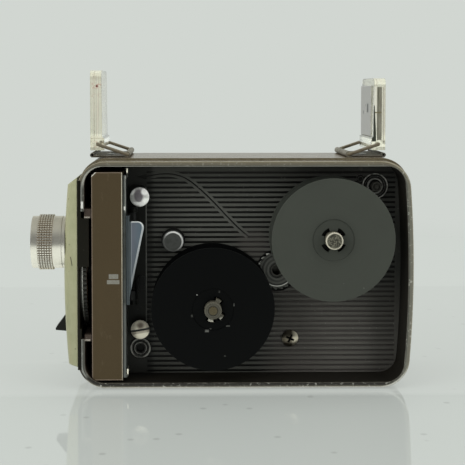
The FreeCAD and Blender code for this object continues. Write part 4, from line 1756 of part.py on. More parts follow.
def make_key_handle():
    """The folding wing with its pin, laid flat and pointing up."""
    half_y = KEY_HANDLE_THICKNESS / 2
    half = KEY_HANDLE_WIDTH / 2
    grip = KEY_GRIP_WIDTH / 2
    z0 = ARBOR_Z
    points = [
        (ARBOR_X - half, z0),
        (ARBOR_X - half, z0 + 4.5),
        (ARBOR_X - grip, z0 + KEY_HUB_RADIUS),
        (ARBOR_X - grip, z0 + KEY_HANDLE_LENGTH),
        (ARBOR_X + grip, z0 + KEY_HANDLE_LENGTH),
        (ARBOR_X + grip, z0 + KEY_HUB_RADIUS),
        (ARBOR_X + half, z0 + 4.5),
        (ARBOR_X + half, z0),
    ]
    wing = prism_y(points, KEY_PIN_Y - half_y, KEY_PIN_Y + half_y)
    corners = [
        e for e in edges_along(wing, Vec(0, 1, 0)) if e.Vertexes[0].Point.z > z0 + KEY_HANDLE_LENGTH - 0.01
    ]
    wing = wing.makeFillet(6.0, corners)
    root = rod_x(KEY_PIN_Y, ARBOR_Z, half_y, ARBOR_X - half, ARBOR_X + half)
    reach = half + SMALL_GAP + KEY_EAR_THICKNESS
    pin = rod_x(KEY_PIN_Y, ARBOR_Z, KEY_PIN_RADIUS, ARBOR_X - reach, ARBOR_X + reach)
    return join([wing, root, pin])


def make_bracket(pivot_x, outward):
    """A finder bracket; outward is the way its small curl lies."""
    bore = BAIL_WIRE_RADIUS + FIT_GAP
    main = rod_y(pivot_x, PIVOT_Z, CURL_RADIUS, BRACKET_NEAR_Y, BRACKET_FAR_Y)
    edge_x = pivot_x + outward * EDGE_CURL_SPAN
    edge_z = CASE_TOP_Z + EDGE_CURL_RADIUS
    edge = rod_y(edge_x, edge_z, EDGE_CURL_RADIUS, BRACKET_NEAR_Y, BRACKET_FAR_Y)
    plate = box(
        min(pivot_x, edge_x), max(pivot_x, edge_x), BRACKET_NEAR_Y, BRACKET_FAR_Y, CASE_TOP_Z, BRACKET_TOP_Z
    )
    bracket = join([main, edge, plate])
    main_bore = rod_y(pivot_x, PIVOT_Z, bore, BRACKET_NEAR_Y - 1, BRACKET_FAR_Y + 1)
    edge_bore = rod_y(edge_x, edge_z, EDGE_CURL_BORE, BRACKET_NEAR_Y - 1, BRACKET_FAR_Y + 1)
    return bracket.cut([main_bore, edge_bore])


def make_brackets():
    return Part.makeCompound([make_bracket(FRONT_PIVOT_X, -1), make_bracket(REAR_PIVOT_X, 1)])


def make_bracket_rivets():
    rivets = []
    for pivot_x, outward in ((FRONT_PIVOT_X, -1), (REAR_PIVOT_X, 1)):
        x = pivot_x + outward * EDGE_CURL_SPAN / 2
        for y in (BRACKET_NEAR_Y + 9, BRACKET_FAR_Y - 9):
            rivets.append(domed_rivet(x, y))
    return Part.makeCompound(rivets)


def domed_rivet(x, y):
    """A low round rivet head on the bracket plate."""
    head = rod_z(x, y, 1.5, BRACKET_TOP_Z, BRACKET_TOP_Z + 0.5)
    top = [e for e in head.Edges if all(abs(v.Point.z - BRACKET_TOP_Z - 0.5) < 1e-6 for v in e.Vertexes)]
    return head.makeFillet(0.35, top)


def make_bail(pivot_x, outward):
    """A wire bail: its rod lies in the curl and its ends reach into the block."""
    near = BRACKET_NEAR_Y - BAIL_ARM_GAP - BAIL_WIRE_RADIUS
    far = BRACKET_FAR_Y + BAIL_ARM_GAP + BAIL_WIRE_RADIUS
    end_x = pivot_x + outward * BAIL_SPAN
    points = [
        Vec(end_x, GLASS_NEAR_Y + BAIL_END, BAIL_END_Z),
        Vec(end_x, near, BAIL_END_Z),
        Vec(pivot_x, near, PIVOT_Z),
        Vec(pivot_x, far, PIVOT_Z),
        Vec(end_x, far, BAIL_END_Z),
        Vec(end_x, GLASS_FAR_Y - BAIL_END, BAIL_END_Z),
    ]
    parts = []
    for start, end in zip(points, points[1:]):
        parts.append(Part.makeCylinder(BAIL_WIRE_RADIUS, start.distanceToPoint(end), start, end.sub(start)))
    for point in points[1:-1]:
        parts.append(Part.makeSphere(BAIL_WIRE_RADIUS, point))
    return join(parts)


def make_front_bail():
    return make_bail(FRONT_PIVOT_X, -1)


def make_rear_bail():
    return make_bail(REAR_PIVOT_X, 1)


def make_glass(pivot_x, outward, height):
    """A clear finder block standing on the bail's ends."""
    x = pivot_x + outward * BAIL_SPAN
    low = BAIL_END_Z - GLASS_FOOT_DROP
    foot_top = BAIL_END_Z + GLASS_FOOT_RISE
    profile = [
        (x + outward * GLASS_OUTSIDE, low),
        (x + outward * GLASS_OUTSIDE, low + height),
        (x - outward * (GLASS_INSIDE - 0.3), low + height),
        (x - outward * GLASS_INSIDE, foot_top),
        (x - outward * GLASS_FOOT_INSIDE, foot_top - 0.8),
        (x - outward * GLASS_FOOT_INSIDE, low),
    ]
    block = prism_y(profile, GLASS_NEAR_Y, GLASS_FAR_Y)
    top_corners = [
        e for e in edges_along(block, Vec(1, 0, 0)) if e.Vertexes[0].Point.z > low + height - 0.01
    ]
    block = block.makeFillet(GLASS_CORNER, top_corners)
    holes = []
    for y0, y1 in (
        (GLASS_NEAR_Y - 1, GLASS_NEAR_Y + BAIL_END + 0.4), (GLASS_FAR_Y - BAIL_END - 0.4, GLASS_FAR_Y + 1)
    ):
        holes.append(rod_y(x, BAIL_END_Z, BAIL_WIRE_RADIUS + FIT_GAP, y0, y1))
    return block.cut(holes)


def make_front_glass():
    return make_glass(FRONT_PIVOT_X, -1, FRONT_GLASS_HEIGHT)


def make_rear_glass():
    return make_glass(REAR_PIVOT_X, 1, REAR_GLASS_HEIGHT)


def make_rear_mask():
    """The thin mask with its sighting slot on the rear block's inner face."""
    face_x = REAR_PIVOT_X + BAIL_SPAN - GLASS_INSIDE
    mask = box(face_x - MASK_THICKNESS, face_x, MASK_NEAR_Y, MASK_FAR_Y, MASK_BOTTOM_Z, MASK_TOP_Z)
    half = MASK_SLOT_WIDTH / 2
    low = MASK_SLOT_Z - MASK_SLOT_HEIGHT / 2
    slot = box(face_x - 1, face_x + 1, MASK_SLOT_Y - half, MASK_SLOT_Y + half, low, low + MASK_SLOT_HEIGHT)
    return mask.cut(slot)


PARTS = {
    "case_shell": make_case,
    "tripod_bush": make_tripod_bush,
    "front_panel": make_front_panel,
    "front_spacer": make_front_spacer,
    "wheel_pin": make_wheel_pin,
    "exposure_wheel": make_exposure_wheel,
    "lens_mount": make_lens_mount,
    "mount_nut": make_mount_nut,
    "lens_ring": make_lens_ring,
    "lens_elements": make_lens_elements,
    "run_lever": make_run_lever,
    "release_link": make_release_link,
    "lever_spring": make_lever_spring,
    "gate_housing": make_gate_housing,
    "aperture_plate": make_aperture_plate,
    "pressure_plate": make_pressure_plate,
    "hinge_rod": make_hinge_rod,
    "pressure_spring": make_pressure_spring,
    "gate_side_plate": make_side_plate,
    "dome_stud": make_dome_stud,
    "gate_screw": make_gate_screw,
    "floor_bush": make_floor_bush,
    "floor_screw": make_floor_screw,
    "cover_post": make_cover_post,
    "film_floor": make_film_floor,
    "supply_spool": make_supply_spool,
    "takeup_spool": make_takeup_spool,
    "supply_spindle": make_supply_spindle,
    "takeup_spindle": make_takeup_spindle,
    "takeup_rivet": make_takeup_rivet,
    "spindle_bushes": make_spindle_bushes,
    "mechanism_front": make_mechanism_front,
    "mechanism_back": make_mechanism_back,
    "pillars": make_pillars,
    "spring_barrel": make_spring_barrel,
    "barrel_cap": make_barrel_cap,
    "mainspring": make_mainspring,
    "winding_arbor": make_winding_arbor,
    "ratchet_wheel": make_ratchet_wheel,
    "click": make_click,
    "click_pin": make_click_pin,
    "second_wheel": make_second_wheel,
    "crown_wheel": make_crown_wheel,
    "governor": make_governor,
    "shutter_bridge": make_shutter_bridge,
    "shutter_shaft": make_shutter_shaft,
    "shutter_disc": make_shutter_disc,
    "claw": make_claw,
    "takeup_gear": make_takeup_gear,
    "footage_boss": make_footage_boss,
    "footage_arm": make_footage_arm,
    "key_hub": make_key_hub,
    "key_handle": make_key_handle,
    "finder_brackets": make_brackets,
    "bracket_rivets": make_bracket_rivets,
    "front_bail": make_front_bail,
    "rear_bail": make_rear_bail,
    "front_glass": make_front_glass,
    "rear_glass": make_rear_glass,
    "rear_mask": make_rear_mask,
}

os.makedirs("parts", exist_ok=True)
for name, make in PARTS.items():
    shape = make()
    shape.exportStep("parts/" + name + ".step")
    print(name, len(shape.Solids), round(shape.Volume, 1), shape.isValid())
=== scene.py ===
import math

import bpy
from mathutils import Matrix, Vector


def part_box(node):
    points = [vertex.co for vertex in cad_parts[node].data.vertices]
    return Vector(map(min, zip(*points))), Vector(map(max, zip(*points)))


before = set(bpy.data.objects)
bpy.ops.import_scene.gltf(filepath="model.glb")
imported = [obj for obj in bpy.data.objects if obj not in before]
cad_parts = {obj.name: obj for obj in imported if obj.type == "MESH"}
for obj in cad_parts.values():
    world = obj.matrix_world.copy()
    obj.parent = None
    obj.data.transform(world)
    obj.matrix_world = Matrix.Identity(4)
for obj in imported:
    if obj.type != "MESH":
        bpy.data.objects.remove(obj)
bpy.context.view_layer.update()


def box_mm(name):
    """The low and high corners of a CAD node, in millimetres."""
    return tuple(tuple(value * 1000 for value in corner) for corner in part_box(name))


def middle(name, first=0, second=2):
    """The middle of a CAD node's box in two of the three directions, in millimetres."""
    low, high = box_mm(name)
    return (low[first] + high[first]) / 2, (low[second] + high[second]) / 2


# Places on the object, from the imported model, in millimetres
CASE_LOW, CASE_HIGH = box_mm("case_shell")
RIM_Y = CASE_LOW[1]
FAR_Y = CASE_HIGH[1]
FLOOR_Y = box_mm("film_floor")[0][1]
LENS_AXIS = middle("lens_ring", 1, 2)
WHEEL_AXIS = middle("exposure_wheel", 1, 2)
SUPPLY_AXIS = middle("supply_spindle")
TAKEUP_AXIS = middle("takeup_spindle")
ARBOR_AXIS = middle("ratchet_wheel")

# The lip's outline as a rounded rectangle with a bowed rear, in millimetres
RIM_STEP = 0.85
RIM_HALF_LENGTH = -box_mm("front_panel")[1][0]
RIM_MIDDLE_Z = CASE_HIGH[2] / 2
RIM_HALF_HEIGHT = RIM_MIDDLE_Z - RIM_STEP
RIM_CORNER = 12.0
RIM_WIDTH = 2.1
INSIDE_CORNER = 8.0
REAR_BOW_RADIUS = 480.0
LIP_DEPTH = 10.0

# Sizes of smaller forms, in millimetres
KNURL_FRONT_INSET = 2.75
KNURL_BACK_INSET = 3.8
GROOVE_DEPTH = 0.4
ROLL_OUTER = 2.02
ROLL_INNER = 0.88
FLAG_REACH = 6.7
FLAG_TOP_INSET = 2.4
FLAG_LOW_INSET = 3.1
FLAG_CORNER = 2.6

# The surround and the table: screen tones and strengths of light
BACKGROUND = (209, 214, 209)
TABLE_TONE = (180, 186, 181)
TABLE_GLOW = 0.28
ROOM_LIGHT = 0.75
ABOVE_DARK = 0.55
FRONT_DARK = 0.10

# The table's rings, in metres
TABLE_SIDES = 96
TABLE_RADII = (0.12, 0.3, 0.6, 1.2, 3.0)

# Where the table's tone, glow and mirrored dark front begin and end, in millimetres
TABLE_STEP_Y = (228, 234)
TABLE_RUN_OUT = (330, 700)
UNDER_FRONT_Y = (-48, -34)
MIRRORED_FRONT_Y = (-420, -240)

# The camera's place in metres, and its turn down and to the right in degrees
CAMERA_PLACE = (-0.0255, -0.515, 0.126)
CAMERA_PITCH = 3.022
CAMERA_YAW = 0.951
FOCAL_PIXELS = 1158.0
FRAME_PIXELS = 465
SENSOR = 36.0
SHIFT = (0.06, -0.17)

# What the lamps point at, in metres
LAMP_TARGET = (0.0, 0.0, 0.06)


def srgb(tone):
    """A colour given as three screen values of 0 to 255, as the linear colour that a socket takes."""
    linear = []
    for value in tone:
        part = value / 255
        linear.append(part / 12.92 if part <= 0.04045 else ((part + 0.055) / 1.055) ** 2.4)
    return (*linear, 1.0)


def lighter(tone, factor):
    """A screen tone made lighter."""
    return tuple(min(255, int(value * factor)) for value in tone)


class Graph:
    """A node tree whose nodes are made and joined by short calls.

    A colour is a socket, a tone of three screen values, or four linear values.
    """

    def __init__(self, tree):
        self.tree = tree
        self.tree.nodes.clear()

    def node(self, kind, values=None, **settings):
        made = self.tree.nodes.new("ShaderNode" + kind)
        for key, value in settings.items():
            setattr(made, key, value)
        for key, value in (values or {}).items():
            self.put(made.inputs[key], value)
        return made

    def put(self, socket, value):
        if isinstance(value, bpy.types.NodeSocket):
            self.tree.links.new(value, socket)
        elif socket.type == "RGBA" and len(value) == 3:
            socket.default_value = srgb(value)
        else:
            socket.default_value = value

    def math(self, operation, a, b=None):
        values = {0: a} if b is None else {0: a, 1: b}
        return self.node("Math", values, operation=operation).outputs[0]

    def chain(self, operation, values):
        result = values[0]
        for value in values[1:]:
            result = self.math(operation, result, value)
        return result

    def times(self, *values):
        return self.chain("MULTIPLY", values)

    def total(self, *values):
        return self.chain("ADD", values)

    def most(self, *values):
        """The highest of the values."""
        return self.chain("MAXIMUM", values)

    def minus(self, a, b):
        return self.math("SUBTRACT", a, b)

    def length(self, a, b):
        """How long a way is that goes a in one direction and b square to it."""
        return self.math("SQRT", self.total(self.times(a, a), self.times(b, b)))

    def distance(self, a, b, centre):
        """Distance from an axis, from two coordinates."""
        return self.length(self.minus(a, centre[0]), self.minus(b, centre[1]))

    def turn(self, a, b, degrees):
        """Two coordinates turned round their origin."""
        cosine, sine = math.cos(math.radians(degrees)), math.sin(math.radians(degrees))
        turned_a = self.minus(self.times(a, cosine), self.times(b, sine))
        return turned_a, self.total(self.times(a, sine), self.times(b, cosine))

    def vector(self, operation, a, b):
        made = self.node("VectorMath", {0: a, 1: b}, operation=operation)
        return made.outputs["Value" if operation == "DOT_PRODUCT" else "Vector"]

    def fade(self, value, start, end):
        """0 before start and 1 after end, with a soft step between."""
        values = {"Value": value, "From Min": start, "From Max": end}
        return self.node("MapRange", values, interpolation_type="SMOOTHSTEP").outputs[0]

    def band(self, value, start, end, soft):
        """1 between start and end, 0 outside."""
        rising = self.fade(value, start - soft, start + soft)
        return self.times(rising, self.fade(value, end + soft, end - soft))

    def line(self, value, place, half, soft):
        """1 within half a width of a place, 0 outside."""
        return self.band(value, place - half, place + half, soft)

    def range(self, value, low, high):
        """A value of 0 to 1 spread over another range."""
        return self.node("MapRange", {"Value": value, "To Min": low, "To Max": high}).outputs[0]

    def ramp(self, value, stops):
        """A colour from a value, by stops of a position and a tone."""
        made = self.node("ValToRGB", {0: value})
        elements = made.color_ramp.elements
        while len(elements) < len(stops):
            elements.new(1.0)
        for element, (position, tone) in zip(elements, stops):
            element.position = position
            element.color = srgb(tone)
        return made.outputs["Color"]

    def mix(self, factor, a, b, blend="MIX"):
        """Colour a with b over it; inputs 6 and 7 and output 2 of the node are the ones for colours."""
        made = self.node("Mix", {0: factor}, data_type="RGBA", blend_type=blend)
        self.put(made.inputs[6], a)
        self.put(made.inputs[7], b)
        return made.outputs[2]

    def vary(self, colour, value, low, high):
        """The colour made darker and lighter by a value that runs from 0 to 1."""
        grey = self.range(value, low, high)
        both = self.node("CombineXYZ", {0: grey, 1: grey, 2: grey}).outputs[0]
        return self.mix(1.0, colour, both, "MULTIPLY")


class Finish(Graph):
    """A material of one principled shader. Its lengths and places are millimetres in the object's frame."""

    def __init__(self, name, **values):
        self.material = bpy.data.materials.new(name)
        self.material.use_nodes = True
        super().__init__(self.material.node_tree)
        self.shader = self.node("BsdfPrincipled")
        self.output = self.node("OutputMaterial", {0: self.shader.outputs[0]})
        self.set(**values)
        metres = self.node("TexCoord").outputs["Object"]
        self.place = self.vector("MULTIPLY", metres, (1000, 1000, 1000))
        self.xyz = tuple(self.node("SeparateXYZ", {0: self.place}).outputs)
        self.normal = self.node("NewGeometry").outputs["Normal"]

    def set(self, **values):
        for key, value in values.items():
            self.put(self.shader.inputs[key.replace("_", " ")], value)

    def facing(self, axis, start, end):
        """1 where the surface's normal points along an axis, with the sign of start and end."""
        return self.fade(self.node("SeparateXYZ", {0: self.normal}).outputs[axis], start, end)

    def noise(self, size, detail=3.0, rough=0.55, stretch=(1, 1, 1), source=None, shift=0.0):
        """Even noise with features of about the given size."""
        made = self.vector("MULTIPLY", source or self.place, tuple(part / size for part in stretch))
        if shift:
            made = self.vector("ADD", made, (shift, shift * 1.7, shift * 0.6))
        values = {"Vector": made, "Scale": 1.0, "Detail": detail, "Roughness": rough}
        return self.node("TexNoise", values).outputs["Fac"]

    def turned(self, radius, along):
        """Coordinates in which noise runs in rings round an axis."""
        return self.node("CombineXYZ", {0: radius, 1: along, 2: 0.0}).outputs[0]

    def specks(self, size, share, strength, shift=0.0):
        """Small separate dots of the given strength; share is how many of the cells hold one."""
        scaled = self.vector("MULTIPLY", self.place, (1 / size,) * 3)
        if shift:
            scaled = self.vector("ADD", scaled, (shift,) * 3)
        cells = self.node("TexVoronoi", {"Vector": scaled, "Scale": 1.0})
        near = self.fade(cells.outputs["Distance"], 0.2, 0.08)
        chosen = self.node("SeparateXYZ", {0: cells.outputs["Color"]}).outputs[0]
        return self.times(near, self.fade(chosen, 1 - share, 1 - share + 0.02), strength)

    def edges(self, radius):
        """How near the surface is to a sharp edge, 0 to 1, and the normal rounded there."""
        bevel = self.node("Bevel", {"Radius": radius / 1000}, samples=4).outputs[0]
        same = self.vector("DOT_PRODUCT", bevel, self.normal)
        return self.fade(same, 0.995, 0.80), bevel

    def surface(self, colour, rough, height, depth, normal=None):
        """Joins the colour, the roughness and a bump of the given depth to the shader."""
        values = {"Height": height, "Distance": depth / 1000, "Strength": 1.0}
        if normal is not None:
            values["Normal"] = normal
        self.set(Base_Color=colour, Roughness=rough, Normal=self.node("Bump", values).outputs[0])
        return self

    def over(self, factor, colour):
        """Lays a colour over the one that the finish has so far."""
        below = self.shader.inputs["Base Color"].links[0].from_socket
        self.set(Base_Color=self.mix(factor, below, colour))

    def less(self, name, factor):
        """Takes a shader value down to nothing where the factor is 1."""
        socket = self.shader.inputs[name]
        below = socket.links[0].from_socket if socket.is_linked else socket.default_value
        self.put(socket, self.times(below, self.minus(1.0, factor)))


def outline_depth(g, half_length, half_height, corner):
    """Distance inwards from a round-cornered outline of the case with its bowed rear."""
    x, _, z = g.xyz
    up = g.minus(z, RIM_MIDDLE_Z)
    bow = g.math("DIVIDE", g.times(up, up), 2 * REAR_BOW_RADIUS)
    straight = g.total(x, g.times(bow, g.fade(x, 0.0, 1.0)))
    past_x = g.minus(g.math("ABSOLUTE", straight), half_length - corner)
    past_z = g.minus(g.math("ABSOLUTE", up), half_height - corner)
    round_part = g.length(g.most(past_x, 0.0), g.most(past_z, 0.0))
    inside = g.math("MINIMUM", g.most(past_x, past_z), 0.0)
    return g.minus(corner, g.total(round_part, inside))


def lip_face(g, across):
    """Colour of the lip's bare face, by how far across it a point lies from its outer edge: worn bands with
    painted highlight lines, and low down a painted highlight at the outer edge fading to painted shade
    inwards.
    """
    x, _, z = g.xyz
    # worn bands and painted highlight lines on the upper and side parts of the lip
    upper = g.ramp(across, (
        (0.0, (158, 151, 130)), (0.14, (140, 133, 112)), (0.25, (84, 78, 62)), (0.4, (110, 104, 88)),
        (0.52, (86, 82, 68)), (0.62, (108, 103, 88)), (0.76, (64, 61, 50)), (0.84, (78, 76, 66)),
        (0.95, (150, 150, 140)),
    ))
    # low down: a painted highlight at the outer edge fading to painted shade inwards
    lower = g.ramp(across, (
        (0.0, (206, 206, 196)), (0.14, (184, 183, 172)), (0.24, (84, 80, 68)), (0.34, (96, 93, 82)),
        (0.44, (40, 37, 30)), (0.75, (32, 29, 24)), (1.0, (26, 24, 19)),
    ))
    front = g.ramp(across, (
        (0.0, (40, 35, 26)), (0.4, (40, 38, 32)), (0.55, (112, 114, 108)), (0.8, (146, 148, 142)),
        (0.97, (70, 70, 64)),
    ))
    face = g.mix(g.fade(z, 10.0, 4.5), upper, lower)
    face = g.mix(g.times(g.fade(x, 58.0, 69.0), 0.75), face, g.mix(0.5, face, (112, 116, 108)))
    # the inner part of the lip on the rear side painted darker
    darker_rear_inner = g.times(g.fade(x, 60.0, 66.0), g.fade(across, 0.62, 0.95), 0.75)
    face = g.mix(darker_rear_inner, face, (50, 50, 44))
    face = g.mix(g.times(g.fade(x, -66.8, -68.2), g.fade(z, 89.0, 85.0)), face, front)
    # a painted highlight where the bright line on the front side ends
    painted_highlight_tip = g.times(g.band(x, -69.6, -68.5, 0.15), g.band(z, 77.3, 80.2, 0.4))
    face = g.mix(painted_highlight_tip, face, (214, 214, 208))
    exposed = g.most(g.fade(x, 56.0, 64.0), g.fade(z, 8.0, 4.0))
    scuff = g.times(g.fade(g.noise(1.6, 5, 0.72, shift=11), 0.55, 0.68), g.range(exposed, 0.3, 0.75))
    return g.mix(scuff, face, (186, 186, 176))


def chamber_wall(g, cloud):
    """Colour of the film chamber's dull walls, lighter brown at the front as painted light, with painted
    highlight lines along two ledge edges at the front.
    """
    x, y, z = g.xyz
    wall = g.vary((25, 22, 16), cloud, 0.75, 1.25)
    # painted light: a lighter brown towards the front end of the chamber
    wall = g.mix(g.fade(x, -60.0, -66.0), wall, (58, 47, 39))
    # painted highlight lines along two ledge edges at the front
    ledge_highlights = g.most(g.band(z, 73.0, 73.75, 0.12), g.band(z, 20.9, 21.6, 0.12))
    ledge_highlights = g.times(ledge_highlights, g.fade(x, -65.5, -66.2), g.fade(y, RIM_Y + 1.3, RIM_Y + 1.1), 0.8)
    wall = g.mix(ledge_highlights, wall, (176, 170, 158))
    worn = g.times(g.fade(y, RIM_Y + 0.6, RIM_Y + 0.25), g.fade(g.noise(3, 5, 0.7, shift=2), 0.3, 0.55))
    return g.mix(worn, wall, (126, 122, 108))


def case_paint():
    """Dark brown enamel, bare and scuffed on the lip with painted highlights and painted shade there, dull
    inside the film chamber with painted light at its front.
    """
    g = Finish("case_enamel", Specular_IOR_Level=0.5)
    y = g.xyz[1]
    depth = outline_depth(g, RIM_HALF_LENGTH, RIM_HALF_HEIGHT, RIM_CORNER)
    past = outline_depth(g, RIM_HALF_LENGTH - RIM_WIDTH, RIM_HALF_HEIGHT - RIM_WIDTH, INSIDE_CORNER)
    across = g.math("DIVIDE", depth, g.most(g.minus(depth, past), 0.3))
    cloud = g.noise(9, 4)
    outer = g.vary((98, 86, 68), cloud, 0.86, 1.14)
    lip = g.vary((92, 84, 64), g.noise(3, 4, shift=7), 0.8, 1.2)
    lip_end = RIM_Y + LIP_DEPTH
    outer = g.mix(g.fade(y, lip_end + 1.5, lip_end), outer, lip)
    between_faces = g.times(g.fade(y, RIM_Y - 0.2, RIM_Y + 0.05), g.fade(y, FAR_Y - 0.4, FAR_Y - 0.7))
    inward = g.times(g.fade(depth, 0.45, 0.8), between_faces)
    colour = g.mix(inward, outer, chamber_wall(g, cloud))
    facing = g.times(g.facing(1, -0.5, -0.8), g.fade(y, RIM_Y + 0.9, RIM_Y + 0.5))
    colour = g.mix(facing, colour, lip_face(g, across))
    edge, rounded = g.edges(0.5)
    wear = g.times(edge, g.fade(g.noise(2.5, 4, 0.65, shift=5), 0.35, 0.6), g.minus(1.0, inward), 0.6)
    colour = g.mix(wear, colour, (156, 150, 134))
    colour = g.mix(g.specks(1.6, 0.1, 0.3), colour, (130, 128, 120))
    rough = g.total(g.range(cloud, 0.17, 0.3), g.times(inward, 0.45))
    return g.surface(colour, rough, g.noise(0.5, 3, shift=3.1), 0.012, rounded)


def bracket_paint():
    """The finder brackets' thin brown enamel, lighter along edges and on the rolls round the bails as bare
    metal and painted highlight.
    """
    g = Finish("bracket_enamel", Specular_IOR_Level=0.12)
    x = g.xyz[0]
    cloud = g.noise(4, 4)
    colour = g.vary((56, 51, 40), cloud, 0.75, 1.25)
    edge, rounded = g.edges(0.35)
    # worn paint and painted highlight along the edges
    edge_wear_and_highlight = g.times(edge, g.range(g.noise(1.2, 4, 0.7, shift=6), 0.25, 1.0))
    colour = g.mix(edge_wear_and_highlight, colour, (208, 204, 190))
    front = box_mm("front_bail")[1][0]
    rear = box_mm("rear_bail")[0][0]
    front_roll = g.band(x, front - ROLL_OUTER, front + ROLL_INNER, 0.3)
    rolls = g.most(front_roll, g.band(x, rear - ROLL_INNER, rear + ROLL_OUTER, 0.3))
    # the rolls painted lighter: bare metal and painted highlight
    bare = g.times(rolls, g.range(g.fade(g.noise(3.0, 4, 0.65, shift=19), 0.4, 0.55), 0.35, 0.9))
    colour = g.mix(bare, colour, (130, 126, 112))
    chips = g.fade(g.noise(1.1, 5, 0.75, stretch=(0.5, 1, 1), shift=13), 0.62, 0.7)
    colour = g.mix(g.times(chips, 0.5), colour, (160, 156, 140))
    return g.surface(colour, g.range(cloud, 0.4, 0.54), g.noise(0.4, 3), 0.01, rounded)


def panel_enamel():
    """Pale greenish cream enamel with an uneven, slightly grainy surface and one dark scratch."""
    g = Finish("panel_cream", Specular_IOR_Level=0.4, Coat_Weight=0.12, Coat_Roughness=0.3)
    x, y, z = g.xyz
    cloud = g.noise(7, 5, 0.6)
    colour = g.ramp(cloud, ((0.3, (154, 156, 122)), (0.5, (161, 162, 129)), (0.7, (168, 168, 136))))
    runs = g.fade(g.noise(2.4, 4, 0.6, stretch=(1, 1, 0.12), shift=17), 0.45, 0.7)
    colour = g.mix(g.times(runs, 0.3), colour, (168, 156, 124))
    stain = g.fade(g.noise(15, 4, 0.65, shift=4), 0.5, 0.72)
    colour = g.mix(g.times(stain, 0.22), colour, (134, 136, 100))
    colour = g.vary(colour, g.fade(z, 20.0, 70.0), 0.92, 1.03)
    scratch_x, scratch_z, lean = -73.6, 54.9, -9.8
    across, along = g.turn(g.minus(x, scratch_x), g.minus(z, scratch_z), lean)
    near_y = box_mm("front_panel")[0][1]
    scratch = g.times(g.line(across, 0, 0.19, 0.06), g.line(along, 0, 1.95, 0.3))
    scratch = g.times(scratch, g.fade(y, near_y + 7.5, near_y + 3.5), 0.9)
    edge, rounded = g.edges(0.5)
    chips = g.times(edge, g.fade(g.noise(1.8, 4, 0.7, shift=9), 0.45, 0.6), 0.5)
    colour = g.mix(chips, colour, (202, 202, 184))
    colour = g.mix(g.most(g.specks(2.4, 0.12, 0.45, 2.0), scratch), colour, (62, 58, 42))
    height = g.total(g.noise(0.8, 3), g.times(g.noise(3.5, 3, shift=6), 1.5))
    return g.surface(colour, g.range(cloud, 0.36, 0.5), height, 0.02, rounded)


def black_metal(name="black_enamel", tone=(26, 27, 24), worn=(112, 112, 106), edge_width=0.35):
    """Matte black paint on metal, painted lighter along its edges as worn paint and painted highlight."""
    g = Finish(name, Specular_IOR_Level=0.22)
    cloud = g.noise(5, 4)
    colour = g.vary(tone, cloud, 0.75, 1.25)
    edge, rounded = g.edges(edge_width)
    # worn paint and painted highlight along the edges
    edge_wear_and_highlight = g.times(edge, g.range(g.noise(2, 4, shift=8), 0.15, 1.0))
    colour = g.mix(edge_wear_and_highlight, colour, worn)
    colour = g.mix(g.specks(1.3, 0.12, 0.25, 1.5), colour, (120, 120, 114))
    return g.surface(colour, g.range(cloud, 0.45, 0.62), g.noise(0.35, 3), 0.01, rounded)


def side_plate_paint():
    """The black plate beside the gate, with a painted highlight line along its rear edge."""
    g = black_metal("side_plate_black", (20, 21, 18), (104, 106, 102), 0.3)
    x, y, _ = g.xyz
    edge_x = box_mm("gate_side_plate")[1][0]
    # painted highlight: a pale line along the rear edge
    line = g.times(g.fade(x, edge_x - 0.5, edge_x - 0.35), g.fade(y, FLOOR_Y, FLOOR_Y - 0.5))
    g.over(g.times(line, g.range(g.noise(3, 4, shift=21), 0.4, 1.0)), (104, 106, 101))
    return g


def film_floor():
    """The ribbed floor: rib tops between grooves painted dark as painted shade, some zones of the tops
    painted lighter as painted light, hazy patches where the grooves are lighter, and painted shade near the
    right wall and the left end.
    """
    g = Finish("film_floor_black", Specular_IOR_Level=0.25)
    x, y, z = g.xyz
    patch = g.noise(26, 4, 0.6, shift=4)
    tops = g.vary((77, 78, 73), g.noise(3, 4, stretch=(0.15, 1, 1)), 0.85, 1.15)
    tops = g.vary(tops, patch, 0.8, 1.15)
    # painted light: rib tops lighter in an upper middle zone and in the low rear corner
    tops = g.vary(tops, g.times(g.band(x, -30.0, 24.0, 14.0), g.band(z, 52.0, 92.0, 8.0)), 0.92, 1.16)
    tops = g.vary(tops, g.times(g.fade(x, 26.0, 42.0), g.fade(z, 50.0, 36.0)), 1.0, 1.4)
    # a hazy patch between the spools, where the grooves are painted lighter
    hazy_place = (4.0, 59.5)
    from_hazy_place = g.distance(x, z, hazy_place)
    hazy_patch = g.times(g.fade(from_hazy_place, 10.0, 3.0), g.range(g.noise(3.0, 4, shift=23), 0.6, 1.0))
    low_rear = g.times(g.fade(x, 4.0, 20.0), g.fade(z, 48.0, 38.0))
    hazy = g.most(low_rear, g.times(g.fade(z, 86.0, 93.0), 0.45), hazy_patch)
    grooves = g.mix(hazy, (15, 15, 13), (66, 63, 60))
    tops = g.mix(g.times(hazy, 0.25), tops, (84, 74, 70))
    # painted shade: the grooves painted dark by how deep they lie
    sunk = g.math("DIVIDE", g.minus(y, FLOOR_Y), GROOVE_DEPTH)
    colour = g.mix(g.fade(sunk, 0.04, 0.5), tops, grooves)
    shade = g.most(g.times(g.fade(x, 52.0, 60.0), 0.35), g.times(g.fade(x, -38.5, -41.2), 0.7))
    colour = g.mix(shade, colour, (20, 20, 17))
    colour = g.mix(g.specks(1.5, 0.16, 0.35, 3.0), colour, (136, 136, 130))
    smear = g.times(g.fade(g.noise(10, 5, 0.7, shift=12), 0.56, 0.72), 0.12)
    colour = g.mix(smear, colour, (104, 102, 94))
    rounded = g.edges(0.18)[1]
    return g.surface(colour, g.range(patch, 0.38, 0.55), g.noise(0.3, 3), 0.006, rounded)


